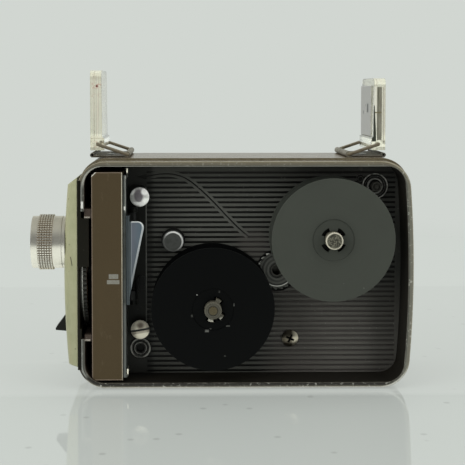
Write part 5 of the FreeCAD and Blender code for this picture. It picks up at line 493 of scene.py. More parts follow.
def housing_outline(g, near, edge):
    """Shares of the gate housing's painted highlight lines along its outline, of its brighter painted
    highlight along the rear edge and of a painted highlight round its top corner.
    """
    x, _, z = g.xyz
    low, high = box_mm("gate_housing")
    from_left = g.minus(x, low[0])
    from_top = g.minus(high[2], z)
    rear = g.fade(x, high[0] - 0.42, high[0] - 0.2)
    # painted highlight lines along the outline of the near face, and on sharp edges
    lines = g.most(
        g.fade(from_left, 0.42, 0.2), rear, g.fade(from_top, 0.42, 0.2), g.fade(g.minus(z, low[2]), 0.5, 0.25)
    )
    lines = g.most(g.times(lines, near), g.times(edge, 0.8))
    lines = g.times(lines, g.range(g.noise(2.5, 4, shift=3), 0.55, 1.0))
    # a brighter painted highlight along the rear edge
    bright = g.times(rear, near, g.range(g.noise(3.5, 4, 0.65, shift=33), 0.5, 1.0))
    bright = g.times(bright, g.range(g.fade(z, 30.0, 60.0), 0.55, 1.0))
    # a painted highlight round the top front corner
    corner = g.times(g.band(g.total(from_left, from_top), 1.3, 2.0, 0.25), near, 0.9)
    return lines, bright, corner


def housing_enamel():
    """Brown matte paint of the gate housing, with painted highlights along its outline and round its top
    corner, and two plain pale bars.
    """
    g = Finish("housing_brown", Specular_IOR_Level=0.2)
    x, y, z = g.xyz
    near_y = box_mm("gate_housing")[0][1]
    cloud = g.noise(14, 4)
    grain = g.noise(0.55, 3, 0.6)
    colour = g.vary((72, 61, 42), cloud, 0.93, 1.07)
    colour = g.vary(colour, grain, 0.9, 1.1)
    edge, rounded = g.edges(0.5)
    near = g.fade(y, near_y + 0.5, near_y + 0.1)
    # tones of the painted highlight lines, of the rear edge's painted highlight and of the corner's painted
    # highlight
    tones = (136, 122, 108), (204, 200, 180), (226, 222, 210)
    for share, tone in zip(housing_outline(g, near, edge), tones):
        colour = g.mix(share, colour, tone)
    upper = g.times(g.band(x, -57.9, -53.9, 0.08), g.band(z, 47.3, 49.3, 0.1))
    lower = g.times(g.band(x, -58.7, -53.4, 0.08), g.band(z, 45.1, 46.8, 0.1))
    bars = g.times(g.most(upper, lower), near, g.range(g.noise(0.5, 3, shift=14), 0.3, 1.0), 0.8)
    colour = g.mix(bars, colour, (160, 162, 154))
    scuff = g.times(g.fade(g.noise(3, 6, 0.75, stretch=(1, 1, 0.3), shift=20), 0.62, 0.72), 0.25)
    colour = g.mix(scuff, colour, (120, 110, 92))
    return g.surface(colour, g.range(cloud, 0.5, 0.62), grain, 0.018, rounded)


def metal(name, tone, rough=(0.25, 0.4), axis=None, along=0, cut=(0.12, 0.004), stain=None, metallic=1.0):
    """Bare metal. Its tool marks, with a size and a depth, run round an axis or along one direction."""
    g = Finish(name, Metallic=metallic)
    grain, depth = cut
    if axis is None:
        stretch = [1.0, 1.0, 1.0]
        stretch[along] = 0.04
        marks = g.noise(grain, 3, 0.6, stretch=tuple(stretch))
    else:
        centre, line = axis
        first, second = (place for index, place in enumerate(g.xyz) if index != line)
        rings = g.turned(g.distance(first, second, centre), g.xyz[line])
        marks = g.noise(grain, 3, 0.6, source=rings)
    cloud = g.noise(4, 4, 0.6, shift=5)
    colour = g.vary(tone, marks, 0.86, 1.1)
    colour = g.vary(colour, cloud, 0.88, 1.08)
    if stain:
        spots = g.fade(g.noise(1.7, 5, 0.7, shift=9), 0.5, 0.7)
        colour = g.mix(g.times(spots, 0.6), colour, stain)
    edge, rounded = g.edges(0.2)
    colour = g.mix(g.times(edge, 0.5), colour, lighter(tone, 1.2))
    roughness = g.total(g.range(cloud, *rough), g.times(marks, 0.06))
    return g.surface(colour, roughness, marks, depth, rounded)


def lens_metal():
    """Turned satin aluminium, browner towards the top and the bottom as painted reflection, with old dirt in
    the knurl and round the steps.
    """
    g = metal("lens_aluminium", (240, 236, 224), (0.22, 0.32), (LENS_AXIS, 0), metallic=0.84)
    x, y, z = g.xyz
    radius = g.distance(y, z, LENS_AXIS)
    low, high = box_mm("lens_ring")
    knurl = g.band(x, low[0] + KNURL_FRONT_INSET, high[0] - KNURL_BACK_INSET, 0.1)
    knurl = g.times(g.fade(radius, 11.75, 11.3), knurl)
    steps = g.times(g.fade(radius, 11.0, 10.3), g.fade(x, -86, -80), 0.4)
    dirt = g.times(g.most(knurl, steps), g.range(g.noise(1.5, 4, shift=2), 0.6, 1.0))
    up = g.minus(z, LENS_AXIS[1])
    # painted reflection: browner towards the top and towards the bottom
    g.over(g.times(g.fade(up, 1.0, 9.0), 0.35), (184, 172, 142))
    g.over(g.times(g.fade(up, -9.5, -11.0), 0.5), (190, 172, 134))
    g.over(dirt, (120, 102, 74))
    g.less("Metallic", dirt)
    return g


def wheel_metal():
    """The exposure wheel: dark, with painted glints on its tooth ends and a light brown rear face painted as
    light in the shade.
    """
    g = metal("wheel_aluminium", (48, 47, 41), (0.38, 0.5), (WHEEL_AXIS, 0), metallic=0.15)
    x, y, z = g.xyz
    back_x = box_mm("exposure_wheel")[1][0]
    radius = g.distance(y, z, WHEEL_AXIS)
    rear = g.times(g.facing(0, 0.5, 0.8), g.fade(radius, 24.3, 23.9))
    g.over(g.fade(radius, 24.75, 24.4), (22, 21, 17))
    # painted light: a light brown rear face, to show in the shade
    g.over(rear, (176, 144, 122))
    # painted glints on the tooth ends
    tips = g.times(g.band(x, back_x - 2.0, back_x - 1.62, 0.1), g.fade(radius, 24.6, 24.9), 0.85)
    g.over(tips, (214, 214, 206))
    return g


def gate_steel():
    """The aperture plate: dull mottled face between a dark channel and a painted highlight along its rear
    edge, with a painted highlight spot and painted glints on its pins.
    """
    g = metal("gate_steel", (74, 79, 76), (0.3, 0.42), along=2, metallic=0.2)
    x, y, z = g.xyz
    low = box_mm("aperture_plate")[0]
    edge_x = low[0] + 1.4
    near = g.fade(y, low[1] + 0.3, low[1] + 0.05)
    blots = g.fade(g.noise(1.4, 4, 0.65, stretch=(1, 1, 0.5), shift=8), 0.42, 0.62)
    g.over(g.times(blots, near, 0.6), (42, 44, 38))
    g.over(g.times(g.fade(z, 38.0, 35.0), near, 0.7), (100, 103, 100))
    g.over(g.times(g.fade(x, low[0] + 0.42, low[0] + 0.3), near), (28, 27, 22))
    # painted highlight along the rear edge
    right = g.times(g.fade(x, edge_x - 0.42, edge_x - 0.25), near, g.fade(z, 74.5, 77.0))
    g.over(g.times(right, g.range(g.noise(2.2, 4, 0.65, shift=12), 0.4, 1.0)), (182, 184, 176))
    # a painted highlight spot high on the rear edge
    spot = g.times(g.band(x, edge_x - 0.75, edge_x - 0.1, 0.1), g.band(z, 76.4, 77.9, 0.3), near)
    g.over(spot, (246, 246, 238))
    pins = g.fade(x, edge_x + 0.05, edge_x + 0.15)
    g.over(pins, (52, 53, 48))
    glints = g.most(g.band(z, 6.5, 9.4, 0.5), g.band(z, 92.2, 94.0, 0.3))
    g.over(g.times(pins, glints), (250, 246, 226))
    return g


def flag_inset(g, low, high, back_x):
    """How far inside the flag's slanted outline and how far below its top a point lies."""
    x, _, z = g.xyz
    top = high[2] - FLAG_TOP_INSET
    bottom = low[2] + FLAG_LOW_INSET
    slope = (high[0] - back_x) / (top - bottom)
    from_top = g.minus(top, z)
    slant_x = g.total(g.times(g.minus(z, bottom), slope), back_x)
    from_slant = g.math("DIVIDE", g.minus(slant_x, x), math.hypot(1.0, slope))
    past_top, past_slant = (g.most(g.minus(FLAG_CORNER, way), 0.0) for way in (from_top, from_slant))
    return g.minus(FLAG_CORNER, g.length(past_top, past_slant)), from_top


def pressure_steel():
    """Blue-grey spring steel: pale flag, lighter towards its top as painted light, with painted highlight
    lines along its edges and along the fold between leaf and flag, darker leaf with a painted highlight line,
    black hinge end.
    """
    g = Finish("pressure_steel", Metallic=0.15, Specular_IOR_Level=0.4)
    x, y, z = g.xyz
    low, high = box_mm("pressure_plate")
    back_x = high[0] - FLAG_REACH
    flag_top = high[2] - FLAG_TOP_INSET
    inset, from_top = flag_inset(g, low, high, back_x)
    cloud = g.noise(5, 4, 0.6, stretch=(1, 1, 0.4))
    brush = g.noise(0.3, 3, 0.6, stretch=(1, 1, 0.05), shift=4)
    upper = g.mix(g.fade(x, back_x, high[0]), (98, 101, 110), (86, 102, 112))
    # painted light: the flag darker low down and lighter towards its top
    flag = g.mix(g.fade(z, 40.0, 66.0), (66, 74, 78), upper)
    on_flag = g.fade(x, back_x + 1.25, back_x + 1.4)
    # a painted highlight line along the leaf
    leaf = g.mix(g.times(g.band(x, low[0] + 0.1, low[0] + 0.3, 0.05), 0.7), (64, 72, 75), (88, 99, 104))
    colour = g.mix(on_flag, leaf, flag)
    colour = g.vary(colour, cloud, 0.85, 1.15)
    colour = g.vary(colour, brush, 0.92, 1.08)
    streaks = g.times(g.fade(g.noise(0.5, 3, 0.6, stretch=(1, 1, 0.03), shift=18), 0.55, 0.68), 0.25)
    colour = g.mix(streaks, colour, (140, 150, 156))
    # painted highlight lines along the flag's top and slanted edges
    top_highlight = g.times(g.fade(inset, 0.42, 0.28), g.fade(z, flag_top - 3.4, flag_top - 1.6), 0.9)
    slant_highlight = g.times(g.fade(inset, 0.28, 0.16), g.range(g.fade(z, 44.0, 66.0), 0.2, 0.5))
    outline = g.times(g.most(top_highlight, slant_highlight), on_flag, g.fade(z, flag_top + 0.1, flag_top))
    colour = g.mix(outline, colour, (222, 226, 224))
    # a painted highlight along the fold between leaf and flag
    bend_highlight = g.times(g.band(x, back_x + 1.3, back_x + 1.55, 0.06), g.fade(from_top, -0.1, 0.1), 0.5)
    colour = g.mix(bend_highlight, colour, (150, 158, 162))
    gap = g.times(g.band(x, back_x - 0.2, back_x + 0.05, 0.05), 0.8)
    colour = g.mix(gap, colour, (22, 24, 24))
    colour = g.mix(g.fade(y, low[1] + 2.3, low[1] + 4.3), colour, (20, 21, 20))
    return g.surface(colour, g.range(cloud, 0.34, 0.48), brush, 0.004, g.edges(0.3)[1])


def head_metal(name, node, tone, rough, metallic=1.0):
    """Plain metal of a round head on the near side, and the way along x and z from its middle."""
    g = metal(name, tone, rough, cut=(0.6, 0.001), metallic=metallic)
    x, _, z = g.xyz
    centre = middle(node)
    return g, g.minus(x, centre[0]), g.minus(z, centre[1])


def stud_metal():
    """The bright domed stud, with a soft dark patch painted in its middle and painted highlights at its upper
    left, its right and its bottom.
    """
    g, dx, dz = head_metal("stud_nickel", "dome_stud", (250, 250, 246), (0.16, 0.24), 0.5)
    # a soft dark patch painted in the middle
    patch = g.length(g.math("DIVIDE", g.total(dx, 0.4), 2.0), g.math("DIVIDE", g.minus(dz, 0.6), 2.9))
    patch = g.times(g.fade(patch, 1.3, 0.75), g.range(g.noise(2.4, 4, shift=4), 0.8, 1.0))
    g.over(patch, (78, 70, 80))
    radius = g.length(dx, dz)
    # painted highlights at the upper left, the right and the bottom
    left = g.times(g.band(radius, 2.9, 3.9, 0.3), g.fade(dx, -1.5, -2.4), g.band(dz, 0.9, 4.0, 0.5), 0.85)
    right = g.fade(g.distance(dx, dz, (2.1, 2.3)), 1.9, 0.9)
    crescent = g.times(g.band(radius, 2.2, 3.7, 0.25), g.fade(dz, -1.7, -2.4), g.band(dx, -3.1, 2.2, 0.5))
    bright = g.most(left, right, crescent)
    g.over(bright, (255, 255, 252))
    g.less("Metallic", g.most(patch, bright))
    return g


def screw_metal():
    """Warm nickel of the gate screw, with a dark slot and a brown patch above it."""
    g, dx, dz = head_metal("gate_screw_nickel", "gate_screw", (242, 234, 214), (0.22, 0.32), 0.5)
    slot_turn = -9.5
    from_slot = g.turn(dx, dz, slot_turn)[1]
    # a brown patch painted above the slot
    brown_patch = g.fade(g.distance(dx, dz, (0.2, 1.9)), 2.2, 0.5)
    brown_patch = g.most(brown_patch, g.times(g.band(from_slot, -1.5, -0.3, 0.3), 0.6))
    brown_patch = g.times(brown_patch, g.range(g.noise(1.6, 4, shift=3), 0.6, 1.0))
    g.over(brown_patch, (84, 62, 48))
    slot = g.line(from_slot, 0, 0.44, 0.06)
    g.over(slot, (14, 12, 9))
    g.less("Metallic", g.most(slot, g.times(brown_patch, 0.6)))
    return g


def cross_metal():
    """Dark worn nickel of the floor's screw, its left half painted dark brown as painted shade, its cross
    painted black.
    """
    g, dx, dz = head_metal("floor_screw_nickel", "floor_screw", (196, 188, 170), (0.2, 0.34))
    cross_turn = 25
    u, v = g.turn(dx, dz, cross_turn)
    bars = [g.times(g.line(a, 0, 0.45, 0.08), g.line(b, 0, 1.9, 0.1)) for a, b in ((u, v), (v, u))]
    # painted shade: the left half painted dark brown
    g.over(g.times(g.fade(dx, 1.6, 0.4), g.range(g.noise(1.0, 4, shift=3), 0.65, 1.0)), (46, 37, 26))
    g.over(g.most(*bars), (8, 8, 7))
    return g


def ratchet_steel():
    """The ratchet wheel: dark rings, painted highlight lines on three rings, one brighter painted highlight
    arc low down and painted glints on its tooth ends.
    """
    g = metal("ratchet_steel", (78, 79, 74), (0.3, 0.45), (ARBOR_AXIS, 1), metallic=0.3)
    x, _, z = g.xyz
    radius = g.distance(x, z, ARBOR_AXIS)
    up = g.minus(z, ARBOR_AXIS[1])
    for start, end, share in ((2.6, 3.3, 0.9), (4.6, 5.0, 0.6), (6.2, 6.8, 0.8)):
        g.over(g.times(g.band(radius, start, end, 0.15), share), (24, 23, 20))
    # painted highlight lines on three rings
    for place, tone in ((4.0, 124), (5.6, 112), (8.1, 130)):
        line = g.times(g.line(radius, place, 0.12, 0.1), g.range(g.noise(3, 3, shift=place), 0.0, 1.0))
        g.over(line, (tone, tone, tone - 8))
    # a brighter painted highlight arc low down
    g.over(g.times(g.band(radius, 6.85, 7.15, 0.12), g.fade(up, -3.5, -6.0)), (236, 236, 228))
    nicks = g.times(g.fade(radius, 7.2, 7.6), g.fade(g.noise(0.9, 4, 0.7, shift=5), 0.45, 0.6), 0.8)
    g.over(nicks, (34, 33, 28))
    glints = g.fade(g.noise(1.2, 3, 0.6, shift=2), 0.45, 0.6)
    g.over(g.times(g.fade(radius, 7.9, 8.2), g.fade(up, -1.0, 2.0), glints), (232, 234, 224))
    return g


def boss_paint():
    """Black paint on the empty bush and the arm's boss, with painted highlights along parts of their rings.
    """
    g = black_metal("boss_black", (22, 22, 19), (150, 150, 144), 0.45)
    x, _, z = g.xyz
    places = (
        ("floor_bush", ((4.1, 0.3, 1.0), (2.55, 0.18, 0.8))),
        ("footage_boss", ((5.35, 0.22, 1.0), (3.1, 0.2, 0.7))),
    )
    for name, rings in places:
        low, high = box_mm(name)
        round_end = (high[0] - (high[2] - low[2]) / 2, (low[2] + high[2]) / 2)
        radius = g.distance(x, z, round_end)
        near = g.fade(radius, 9.0, 8.0)
        for place, half, share in rings:
            # painted highlights along parts of the rings
            worn = g.range(g.fade(g.noise(3.2, 3, 0.6, shift=place), 0.36, 0.54), 0.2, 1.0)
            g.over(g.times(g.line(radius, place, half, 0.12), worn, share, near), (190, 190, 182))
    return g


def spool_paint(name, tone, worn, centre, scuff, marks_at, hub_shade, shine=0.14):
    """Matte spool paint with faint rings round the axle, a darker hub zone, a few worn marks and painted
    shade inside the hub's holes.
    """
    g = Finish(name, Specular_IOR_Level=shine)
    x, y, z = g.xyz
    radius = g.distance(x, z, centre)
    rings = g.noise(1.1, 4, 0.6, source=g.turned(radius, y))
    cloud = g.noise(12, 4, shift=3)
    colour = g.vary(tone, rings, 0.94, 1.06)
    colour = g.vary(colour, cloud, 0.92, 1.08)
    colour = g.vary(colour, g.fade(radius, 6.0, 13.0), hub_shade, 1.0)
    edge, rounded = g.edges(0.35)
    colour = g.mix(g.times(edge, g.fade(radius, 24.0, 25.5), 0.42), colour, worn)
    marks = g.fade(g.noise(2.2, 6, 0.75, stretch=(1, 1, 0.35), shift=7), 0.66, 0.74)
    colour = g.mix(g.times(marks, scuff), colour, worn)
    ragged = g.fade(g.noise(0.7, 4, 0.7, shift=15), 0.42, 0.58)
    for mark_x, mark_z, wide, tall, share in marks_at:
        spot = g.times(g.line(x, mark_x, wide, 0.15), g.line(z, mark_z, tall, 0.15), share)
        colour = g.mix(g.times(spot, g.range(ragged, 1 - share, 1.0)), colour, (168, 170, 162))
    # painted shade inside the holes round the hub
    near_y = box_mm("supply_spool")[0][1]
    hub_hole_shade = g.times(g.fade(radius, 5.8, 5.4), g.fade(y, near_y + 0.6, near_y + 1.1))
    colour = g.mix(hub_hole_shade, colour, (8, 8, 7))
    height = g.total(g.noise(0.4, 3, 0.6), g.times(rings, 0.4))
    return g.surface(colour, g.range(cloud, 0.46, 0.6), height, 0.012, rounded)


def spool_finishes():
    """The two spools' paints. A mark is its place along x and z, half its sizes and its share."""
    grey_marks = ((50.0, 43.2, 0.14, 0.14, 0.9), (41.4, 45.2, 0.2, 0.1, 0.2))
    black_marks = (
        (-20.67, 40.53, 0.2, 0.2, 1.0), (-5.03, 36.21, 0.14, 0.5, 0.9), (-16.45, 25.14, 0.8, 0.5, 0.3),
        (-7.56, 27.24, 0.8, 0.22, 0.22), (-8.82, 14.4, 0.35, 0.2, 0.15), (-22.79, 31.58, 0.4, 0.5, 0.12),
        (-14.9, 26.0, 0.35, 0.2, 0.2), (-11.2, 41.8, 0.3, 0.5, 0.08),
    )
    grey = spool_paint("spool_grey", (64, 67, 61), (112, 114, 106), SUPPLY_AXIS, 0.15, grey_marks, 0.82)
    black = spool_paint("spool_black", (7, 8, 8), (52, 54, 50), TAKEUP_AXIS, 0.06, black_marks, 1.0, 0.07)
    return grey, black


def grey_paint(name, tone, spec=0.4):
    """Satin grey paint, worn lighter along the edges."""
    g = Finish(name, Specular_IOR_Level=spec)
    cloud = g.noise(3, 4)
    colour = g.vary(tone, cloud, 0.85, 1.15)
    edge, rounded = g.edges(0.35)
    colour = g.mix(g.times(edge, 0.8), colour, lighter(tone, 1.6))
    return g.surface(colour, g.range(cloud, 0.32, 0.46), g.noise(0.3, 3), 0.008, rounded)


def post_paint():
    """The cover post: mottled grey end, a painted highlight on its chamfer strongest towards the upper rear,
    black foot.
    """
    g = grey_paint("post_grey", (62, 64, 61))
    x, y, z = g.xyz
    end_y = box_mm("cover_post")[0][1]
    centre = middle("cover_post")
    radius = g.distance(x, z, centre)
    blots = g.fade(g.noise(1.6, 4, 0.65, shift=8), 0.45, 0.62)
    g.over(g.times(blots, 0.5), (42, 43, 40))
    # a painted highlight on the chamfer, strongest towards the upper rear
    upper_rear = g.total(g.minus(x, centre[0]), g.minus(z, centre[1]))
    rim = g.times(g.band(radius, 3.75, 4.42, 0.12), g.range(g.fade(upper_rear, -3.5, 3.0), 0.15, 1.0))
    g.over(g.times(rim, g.fade(y, end_y + 1.2, end_y + 0.9)), (206, 208, 204))
    g.over(g.fade(y, FLOOR_Y - 2.4, FLOOR_Y - 0.7), (20, 20, 18))
    return g


def supply_spindle_metal():
    """The supply spindle: a stippled end inside a bright turned rim."""
    g = metal("spindle_steel", (150, 148, 130), (0.3, 0.42), (SUPPLY_AXIS, 1), metallic=0.4)
    x, y, z = g.xyz
    radius = g.distance(x, z, SUPPLY_AXIS)
    end = g.fade(radius, 3.2, 2.9)
    stipple = g.fade(g.noise(0.55, 2, 0.5, shift=9), 0.4, 0.56)
    g.over(g.times(end, 0.6), (96, 94, 82))
    g.over(g.times(stipple, end, 0.9), (44, 43, 36))
    near_y = box_mm("supply_spindle")[0][1]
    rim = g.times(g.band(radius, 3.2, 3.75, 0.1), g.fade(y, near_y + 0.7, near_y + 0.3))
    g.over(rim, (214, 208, 190))
    return g


def takeup_spindle_paint():
    """The take-up spindle's dull grey-brown face, turned in rings, with a painted highlight low on its rim.
    """
    g = grey_paint("spindle_grey", (78, 76, 66), 0.3)
    x, _, z = g.xyz
    radius = g.distance(x, z, TAKEUP_AXIS)
    for start, end, share in ((1.9, 2.2, 0.8), (2.75, 2.95, 0.5)):
        g.over(g.times(g.band(radius, start, end, 0.08), share), (28, 27, 22))
    # a painted highlight low on the rim
    g.over(g.times(g.fade(radius, 3.9, 4.3), g.fade(z, 31.8, 30.4)), (176, 174, 160))
    return g


def mask_paint():
    """The rear sight's grey mask, with its dark slit and one dark spot."""
    g = grey_paint("mask_grey", (160, 160, 156))
    _, y, z = g.xyz
    slit = g.times(g.band(y, -0.4, 3.6, 0.3), g.band(z, 117.1, 120.9, 0.25))
    spot = g.times(g.band(y, 12.4, 15.0, 0.4), g.band(z, 116.2, 117.7, 0.3), 0.7)
    g.over(g.most(slit, spot), (22, 22, 22))
    return g


def clear_block(name, node):
    """Clear moulded plastic, faintly cream, with upright streaks and scratches, and its near face."""
    g = Finish(name, Transmission_Weight=0.96, IOR=1.47)
    streak = g.noise(0.7, 3, 0.6, stretch=(1, 1, 0.02))
    tint = g.ramp(streak, ((0.3, (244, 232, 216)), (0.5, (246, 244, 228)), (0.72, (228, 228, 204))))
    scratch = g.fade(g.noise(1.4, 6, 0.75, stretch=(0.2, 0.5, 1), shift=6), 0.6, 0.75)
    edge, rounded = g.edges(0.6)
    tint = g.mix(g.times(edge, 0.55), tint, (170, 160, 128))
    g.surface(tint, g.total(g.times(scratch, 0.12), 0.03), streak, 0.02, rounded)
    near_y = box_mm(node)[0][1]
    return g, g.fade(g.xyz[1], near_y + 1.2, near_y + 0.4)


def draw(g, mask, tone, body=1.0):
    """Lays a mark over clear plastic; body is how far it hides what lies behind."""
    g.over(mask, tone)
    g.less("Transmission Weight", g.times(mask, body))


def front_block():
    """The front sight's block, with thin reddish lines in its near face."""
    g, near = clear_block("front_plastic", "front_glass")
    x, _, z = g.xyz
    tall = g.band(z, 107.0, 133.5, 0.8)
    ends = g.times(g.most(g.fade(z, 130.5, 132.5), g.fade(z, 108.0, 106.5)), near)
    draw(g, g.times(ends, g.range(g.noise(2.2, 4, 0.6, shift=27), 0.3, 0.85)), (192, 186, 162), 0.3)
    upright = (
        (-66.75, 0.18, 0.5, (120, 116, 92)), (-65.2, 0.16, 0.4, (150, 118, 96)),
        (-64.1, 0.16, 0.55, (132, 92, 76)), (-63.1, 0.14, 0.45, (146, 112, 92)),
        (-61.3, 0.26, 0.35, (120, 116, 96)),
    )
    for place, half, share, tone in upright:
        line = g.times(g.line(x, place, half, 0.08), tall, near, share)
        draw(g, g.times(line, g.range(g.noise(4, 4, shift=place), 0.3, 1.0)), tone, 0.6)
    draw(g, g.times(g.band(z, 134.7, 135.4, 0.15), near, 0.5), (150, 146, 118), 0.6)
    blots = g.fade(g.noise(1.1, 4, 0.7, shift=31), 0.5, 0.62)
    high = g.most(g.band(z, 127.6, 130.2, 0.5), g.times(g.band(z, 123.9, 125.6, 0.4), 0.4))
    low = g.times(g.band(z, 101.8, 105.0, 0.5), g.band(x, -65.4, -61.8, 0.5))
    draw(g, g.times(g.most(high, low), blots, near, 0.6), (176, 84, 62), 0.7)
    draw(g, g.times(g.fade(g.distance(x, z, (-63.84, 128.7)), 0.6, 0.35), near), (92, 22, 16))
    draw(g, g.times(g.band(z, 106.35, 106.8, 0.1), near, 0.5), (236, 232, 210), 0.8)
    draw(g, g.times(g.band(z, 105.8, 106.2, 0.1), near, 0.4), (140, 128, 100), 0.6)
    return g


def rear_block():
    """The rear sight's block, whose near face shows the edges of the mask's folded strips."""
    g, near = clear_block("rear_plastic", "rear_glass")
    x, _, z = g.xyz
    tall = g.times(g.band(z, 105.2, 128.4, 0.3), near)
    worn = g.range(g.noise(2.5, 4, 0.7, stretch=(1, 1, 0.5), shift=5), 0.7, 1.0)
    patchy = g.range(g.noise(1.6, 4, 0.7, shift=8), 0.3, 0.8)
    strips = (
        (56.4, 57.7, 0.12, 0.5, (240, 242, 232), 0.9), (57.95, 59.95, 0.12, worn, (64, 62, 44), 1.0),
        (57.95, 58.35, 0.1, 0.7, (40, 38, 27), 1.0), (60.4, 61.0, 0.12, patchy, (96, 92, 72), 1.0),
    )
    for start, end, soft, share, tone, body in strips:
        draw(g, g.times(g.band(x, start, end, soft), tall, share), tone, body)
    cross_bar = g.times(g.band(x, 56.3, 59.9, 0.1), g.band(z, 116.9, 117.5, 0.12), near)
    draw(g, cross_bar, (104, 98, 76), 0.9)
    thin = g.times(g.band(x, 56.3, 56.5, 0.08), g.band(z, 104.6, 133.5, 0.3), near, 0.4)
    draw(g, thin, (116, 118, 96), 0.8)
    half = g.range(g.fade(z, 124.0, 105.0), 0.2, 0.95)
    beside = g.minus(g.math("ABSOLUTE", g.minus(x, 56.6)), half)
    taper = g.times(g.fade(beside, 0.1, -0.1), g.band(z, 104.6, 120.3, 0.2), near)
    draw(g, taper, (56, 59, 51))
    return g


def optical_glass():
    """Coated lens glass with a little dust."""
    g = Finish("lens_glass", Transmission_Weight=1.0, IOR=1.6, Coat_Weight=0.5, Coat_Roughness=0.02)
    _, y, z = g.xyz
    colour = g.mix(g.fade(g.distance(y, z, LENS_AXIS), 3.0, 7.0), (214, 222, 232), (186, 196, 214))
    return g.surface(colour, g.total(g.specks(0.9, 0.2, 0.3), 0.015), g.noise(2, 2), 0.001)


def paint(finish, *names):
    """Gives CAD nodes a finish in place of the plain one they came with in model.glb."""
    for name in names:
        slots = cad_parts[name].data.materials
        if not slots:
            slots.append(finish.material)
        for index in range(len(slots)):
            slots[index] = finish.material


def paint_case():
    """Finishes of the case, the front, the floor of the film chamber and the spools."""
    paint(case_paint(), "case_shell")
    paint(panel_enamel(), "front_panel")
    paint(black_metal("spacer_black", (17, 15, 7), (48, 44, 30), 0.3), "front_spacer")
    # mechanism_front is painted black as painted shade, where it shows through the floor's openings
    paint(black_metal(), "run_lever", "shutter_disc", "mechanism_front")
    paint(lens_metal(), "lens_ring", "lens_mount")
    paint(optical_glass(), "lens_elements")
    paint(wheel_metal(), "exposure_wheel")
    paint(film_floor(), "film_floor")
    paint(boss_paint(), "floor_bush", "footage_boss")
    paint(post_paint(), "cover_post")
    paint(cross_metal(), "floor_screw")
    grey, black = spool_finishes()
    paint(grey, "supply_spool")
    paint(black, "takeup_spool")
    paint(supply_spindle_metal(), "supply_spindle")
    paint(takeup_spindle_paint(), "takeup_spindle")
    paint(metal("brass_dull", (88, 80, 58), (0.34, 0.46), (TAKEUP_AXIS, 1), metallic=0.5), "takeup_rivet")


def paint_gate():
    """Finishes of the film gate's pieces and of what stands beside it."""
    paint(housing_enamel(), "gate_housing")
    paint(gate_steel(), "aperture_plate")
    paint(pressure_steel(), "pressure_plate")
    paint(black_metal("spring_black", (22, 23, 22), (70, 74, 74), 0.2), "pressure_spring", "hinge_rod")
    paint(side_plate_paint(), "gate_side_plate")
    paint(stud_metal(), "dome_stud")
    paint(screw_metal(), "gate_screw")


def paint_finder():
    """Finishes of the folding finder's pieces."""
    paint(bracket_paint(), "finder_brackets")
    paint(front_block(), "front_glass")
    paint(rear_block(), "rear_glass")
    paint(mask_paint(), "rear_mask")
    bail = metal("bail_steel", (146, 137, 117), (0.26, 0.38), along=1, stain=(84, 74, 58), metallic=0.6)
    paint(bail, "front_bail", "rear_bail")


def paint_works():
    """Finishes of the clockwork, the key and the small steel pieces."""
    paint(ratchet_steel(), "ratchet_wheel")
    steel = metal("steel_brushed", (168, 170, 170))
    paint(
        steel, "tripod_bush", "mount_nut", "release_link", "pillars", "click", "click_pin", "shutter_bridge",
        "shutter_shaft", "claw", "bracket_rivets", "barrel_cap", "wheel_pin",
    )
    dark_steel = metal("steel_dark", (70, 69, 63), stain=(40, 38, 33), metallic=0.5)
    paint(dark_steel, "footage_arm", "winding_arbor")
    paint(metal("blued_steel", (104, 112, 114), (0.3, 0.42), along=2), "lever_spring", "mainspring")
    chrome = metal("chrome_bright", (222, 222, 226), (0.14, 0.22), cut=(0.5, 0.001))
    paint(chrome, "key_hub", "key_handle")
    brass = metal("brass_turned", (196, 162, 98), (0.22, 0.36), (ARBOR_AXIS, 1), stain=(120, 92, 52))
    paint(
        brass, "spindle_bushes", "mechanism_back", "spring_barrel", "second_wheel", "crown_wheel", "governor",
        "takeup_gear",
    )


def make_table_mesh():
    """A flat round disc of rings that grow outwards, in metres."""
    points = [(0.0, 0.0, 0.0)]
    for radius in TABLE_RADII:
        angles = [2 * math.pi * side / TABLE_SIDES for side in range(TABLE_SIDES)]
        points += [(radius * math.cos(angle), radius * math.sin(angle), 0.0) for angle in angles]
    pairs = [(side, (side + 1) % TABLE_SIDES) for side in range(TABLE_SIDES)]
    faces = [(0, 1 + side, 1 + after) for side, after in pairs]
    for ring in range(len(TABLE_RADII) - 1):
        inner = 1 + ring * TABLE_SIDES
        outer = inner + TABLE_SIDES
        faces += [(inner + side, outer + side, outer + after, inner + after) for side, after in pairs]
    mesh = bpy.data.meshes.new("table")
    mesh.from_pydata(points, [], faces)
    return mesh


